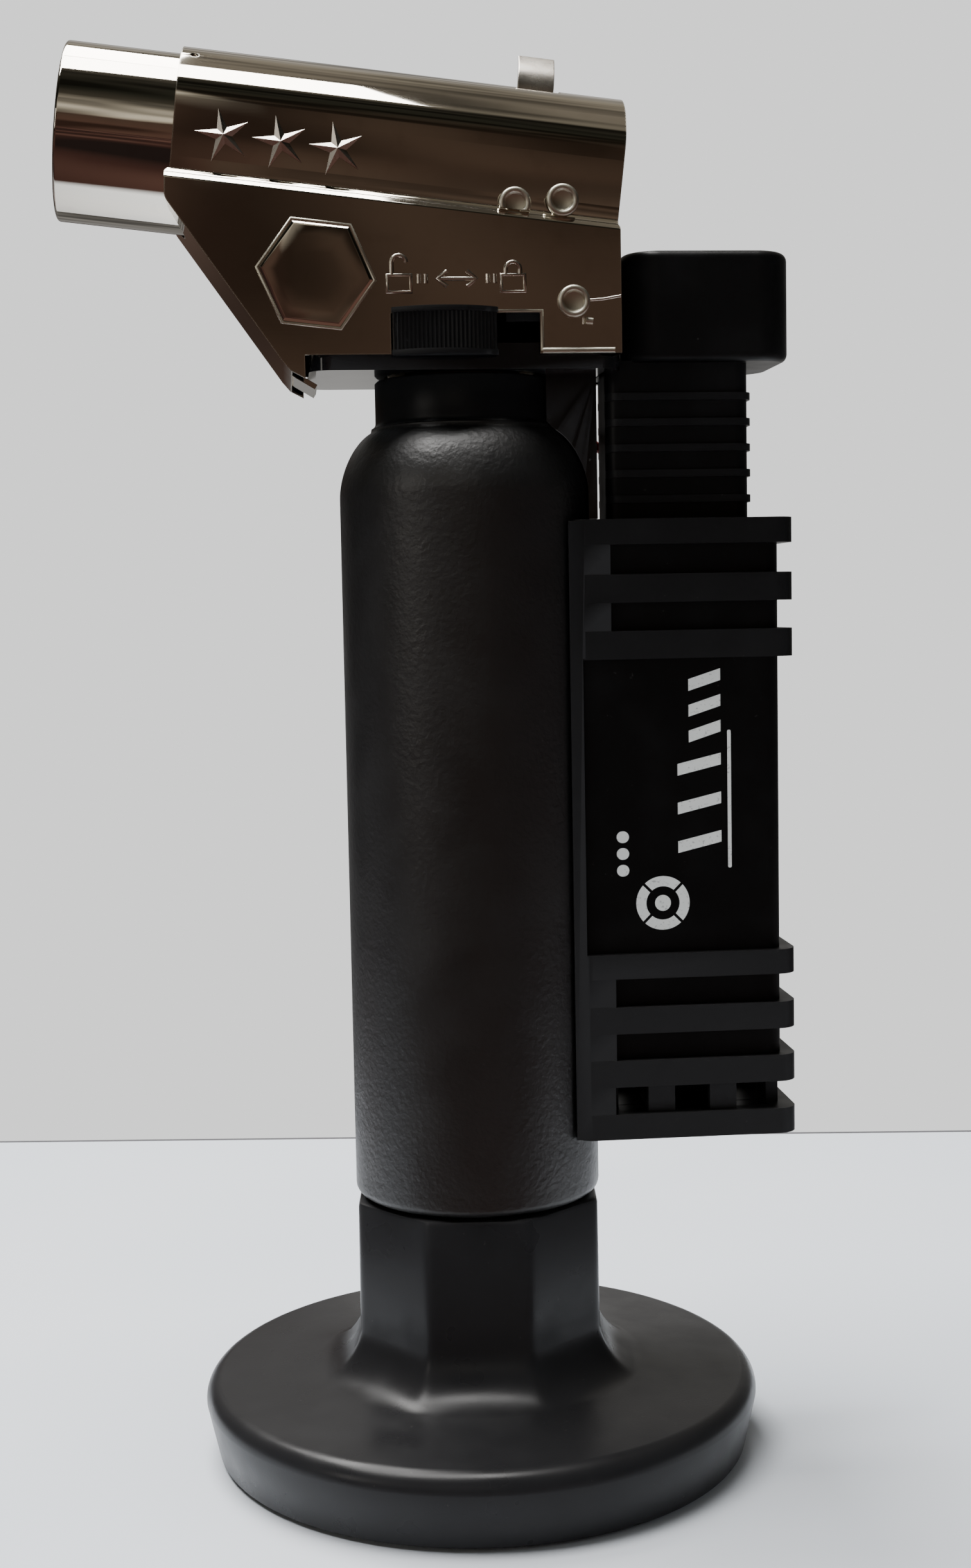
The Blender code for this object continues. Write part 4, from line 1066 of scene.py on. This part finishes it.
def build_lock_slider():
    """A convex pad with fine upright ridges, on a tongue that reaches into the head."""
    sagitta, back = 2.3, -13.6
    radius = (LOCK_HALF ** 2 + sagitta ** 2) / (2 * sagitta)
    span = math.degrees(math.asin(LOCK_HALF / radius))
    middle = back - 0.2 - sagitta + radius
    ridges, fine = 26, 6
    face = []
    for i in range(ridges * fine + 1):
        turn = math.radians(270 - span + 2 * span * i / (ridges * fine))
        reach = radius - 0.11 * (1 + math.cos(math.tau * i / fine))
        face.append((LOCK_MIDDLE + reach * math.cos(turn), middle + reach * math.sin(turn)))
    left, right = LOCK_MIDDLE - LOCK_HALF + 0.1, LOCK_MIDDLE + LOCK_HALF - 0.1
    behind = [(right, back), (left, back)]
    pad = prism("slider_body", face + behind, LOCK_FOOT, LOCK_TOP, PLAN, "pad_plastic")
    rim = arc((LOCK_MIDDLE, middle), radius + 0.02, 270 - span, 270 + span, 40) + behind
    for low, high in ((LOCK_FOOT, LOCK_FOOT + LOCK_RIM), (LOCK_TOP - LOCK_RIM, LOCK_TOP)):
        join(pad, prism("pad_rim", rim, low, high))
    join(pad, box("tongue", (left + 0.4, right - 0.3), (-14.0, -5.3), (153.9, 155.9)))
    ready(soften(pad, 0.12, 2, 50, 30), "lock", "black_plastic", "lock_slider")


# ---- thumb button

def build_thumb_button():
    x0, x1, z0, z1 = BLOCK
    outline = rounded((x0, x1), (-BLOCK_HALF, BLOCK_HALF), 5.0, 12)
    button = prism("button_body", outline, z0, z1, PLAN, "black_plastic")
    left, right = COLUMN
    column = rounded((left, right), (-COLUMN_HALF, COLUMN_HALF), 2.0, 6)
    soften(button, 1.1, 5, 50)
    join(button, prism("column", column, COLUMN_FOOT, z0 + 0.3))
    for i in range(RIB_COUNT):
        centre, half = RIB_TOP - RIB_PITCH * i, COLUMN_HALF + RIB_PROUD
        rib = rounded((left, right + RIB_PROUD), (-half, half), 2.2, 6)
        join(button, prism("rib", rib, centre - 0.5, centre + 0.5))
    cut(button, box("lever_pocket", (10, 28), (-4.6, 4.6), (z0 + 0.7, 164.6)),
        box("side_relief", (10, left + 1.1), (-1.0, 20), (100, z0 - 1)))
    ready(soften(button, 0.22, 2, 60, 32), "button", "black_plastic", "thumb_button")


# ---- grip

def build_grip_half(name, side):
    """One moulded half: a core with fins and an upright band, hollow inside."""
    core = rounded((GRIP_LEFT + 0.4, CORE_RIGHT), (-CORE_HALF, CORE_HALF), 2.0, 8)
    half = prism(f"{name}_body", core, GRIP_FOOT + 0.3, GRIP_TOP - 0.3, PLAN, "grip_plastic")
    fin = rounded((GRIP_LEFT, GRIP_RIGHT), (-GRIP_HALF, GRIP_HALF), 2.6, 10)
    fins = [prism(f"fin_{i}", fin, low, high) for i, (low, high)
            in enumerate(UPPER_FINS + LOWER_FINS)]
    bands = ((UPPER_FINS[0][0] + 0.2, GRIP_TOP - 0.2, BAND_RIGHT),
             (GRIP_FOOT + 0.2, LOWER_FINS[-1][1] - 0.2, BAND_RIGHT),
             (LOWER_FINS[-1][0], UPPER_FINS[0][1] - 0.2, PANEL_LEFT))
    fins += [box(f"band_{i}", (GRIP_LEFT + 0.05, right), (-GRIP_HALF + 0.05, GRIP_HALF - 0.05),
                 (low, high)) for i, (low, high, right) in enumerate(bands)]
    join(half, *fins)
    front = side < 0
    tools = [rod("tank_room", (0, 0), TANK_RADIUS + CLEAR, 30, 160, PLAN, None, 160),
             box("hollow", (19.2, 40.1), (-9.8, 9.8), (GRIP_FOOT + 1.8, 140)),
             box("mouth", (18.6, 39.4), (-8.4, 8.4) if front else (-9.8, 9.8),
                 (COLUMN_FOOT - BUTTON_TRAVEL - 1, 140))]
    low, high = LOWER_FINS[0][1], LOWER_FINS[1][0]
    depth = (-20, -8) if front else (8, 20)
    tools += [box("vent", (left, right), depth, (low, high)) for left, right in VENTS]
    if not front:
        tools += [rod("seat", place, 2.4, -20, -10.4, FRONT) for place in BOSSES]
    other = (-0.15, 30) if front else (-30, 0.15)
    tools.append(box("split", (0, 60), other, (30, 150)))
    cut(half, *tools)
    ready(soften(half, 0.5, 4, 35, 32), "torch", "black_plastic", name)


def build_grip_screws():
    """Cross-recessed screws that close the grip from behind."""
    for i, (x, z) in enumerate(BOSSES):
        turn = Matrix.Rotation(math.radians(-90), 4, "X")
        place = Matrix.Translation((x * MM, 0, z * MM)) @ turn
        screw = lathe(f"screw_{i + 1}", [(0, 11.45), (1.0, 11.4), (1.6, 11.2), (1.95, 10.9),
                                         (2.0, 10.7), (0.7, 10.7), (0.7, -7.4), (0, -7.5)],
                      place, "steel", 40, False)
        cut(screw, box("slot_a", (-1.1, 1.1), (-0.2, 0.2), (10.9, 12), place),
            box("slot_b", (-0.2, 0.2), (-1.1, 1.1), (10.9, 12), place))
        ready(smooth(screw, 35), "torch", "steel", f"grip_screw_{i + 1}")


def build_print():
    """Plain white marks on the front panel: bars, a line, dots, a four-part ring with a dot."""
    right = 33.4
    marks = [[(left, z - 1.5), (right, z - 0.1), (right, z + 1.5), (left, z + 0.1)]
             for z, left in ((108.4, 29.0), (104.9, 29.0), (101.4, 29.0), (96.9, 27.4),
                             (91.6, 27.4), (86.3, 27.4))]
    marks.append(rounded((34.3, 34.8), (82.6, 101.5), 0.2, 3))
    marks += [rounded((18.9, 20.6), (z - 0.8, z + 0.8), 0.79, 5) for z in (87.2, 84.9, 82.6)]
    middle = (25.2, 78.0)
    marks += [arc(middle, 3.7, start, start + 84, 12) + arc(middle, 2.3, start + 82, start + 2, 12)
              for start in (48, 138, 228, 318)]
    marks.append(arc(middle, 1.1, 0, 345, 23))
    shape = bmesh.new()
    for outline in marks:
        extrude(shape, outline, CORE_HALF - 0.05, CORE_HALF + 0.03)
    ready(put("panel_print", shape, FRONT, "white_print"), "torch", "white_plastic")


build_camera()
build_studio()
build_stand()
build_tank()
build_head_plate()
build_head_shell()
build_stars()
build_legend()
build_shell_marks()
build_hems()
build_rivets()
build_burner_tube()
build_air_shutter()
build_lock_slider()
build_thumb_button()
build_grip_half("grip_front", -1)
build_grip_half("grip_rear", 1)
build_grip_screws()
build_print()
dress_carried()
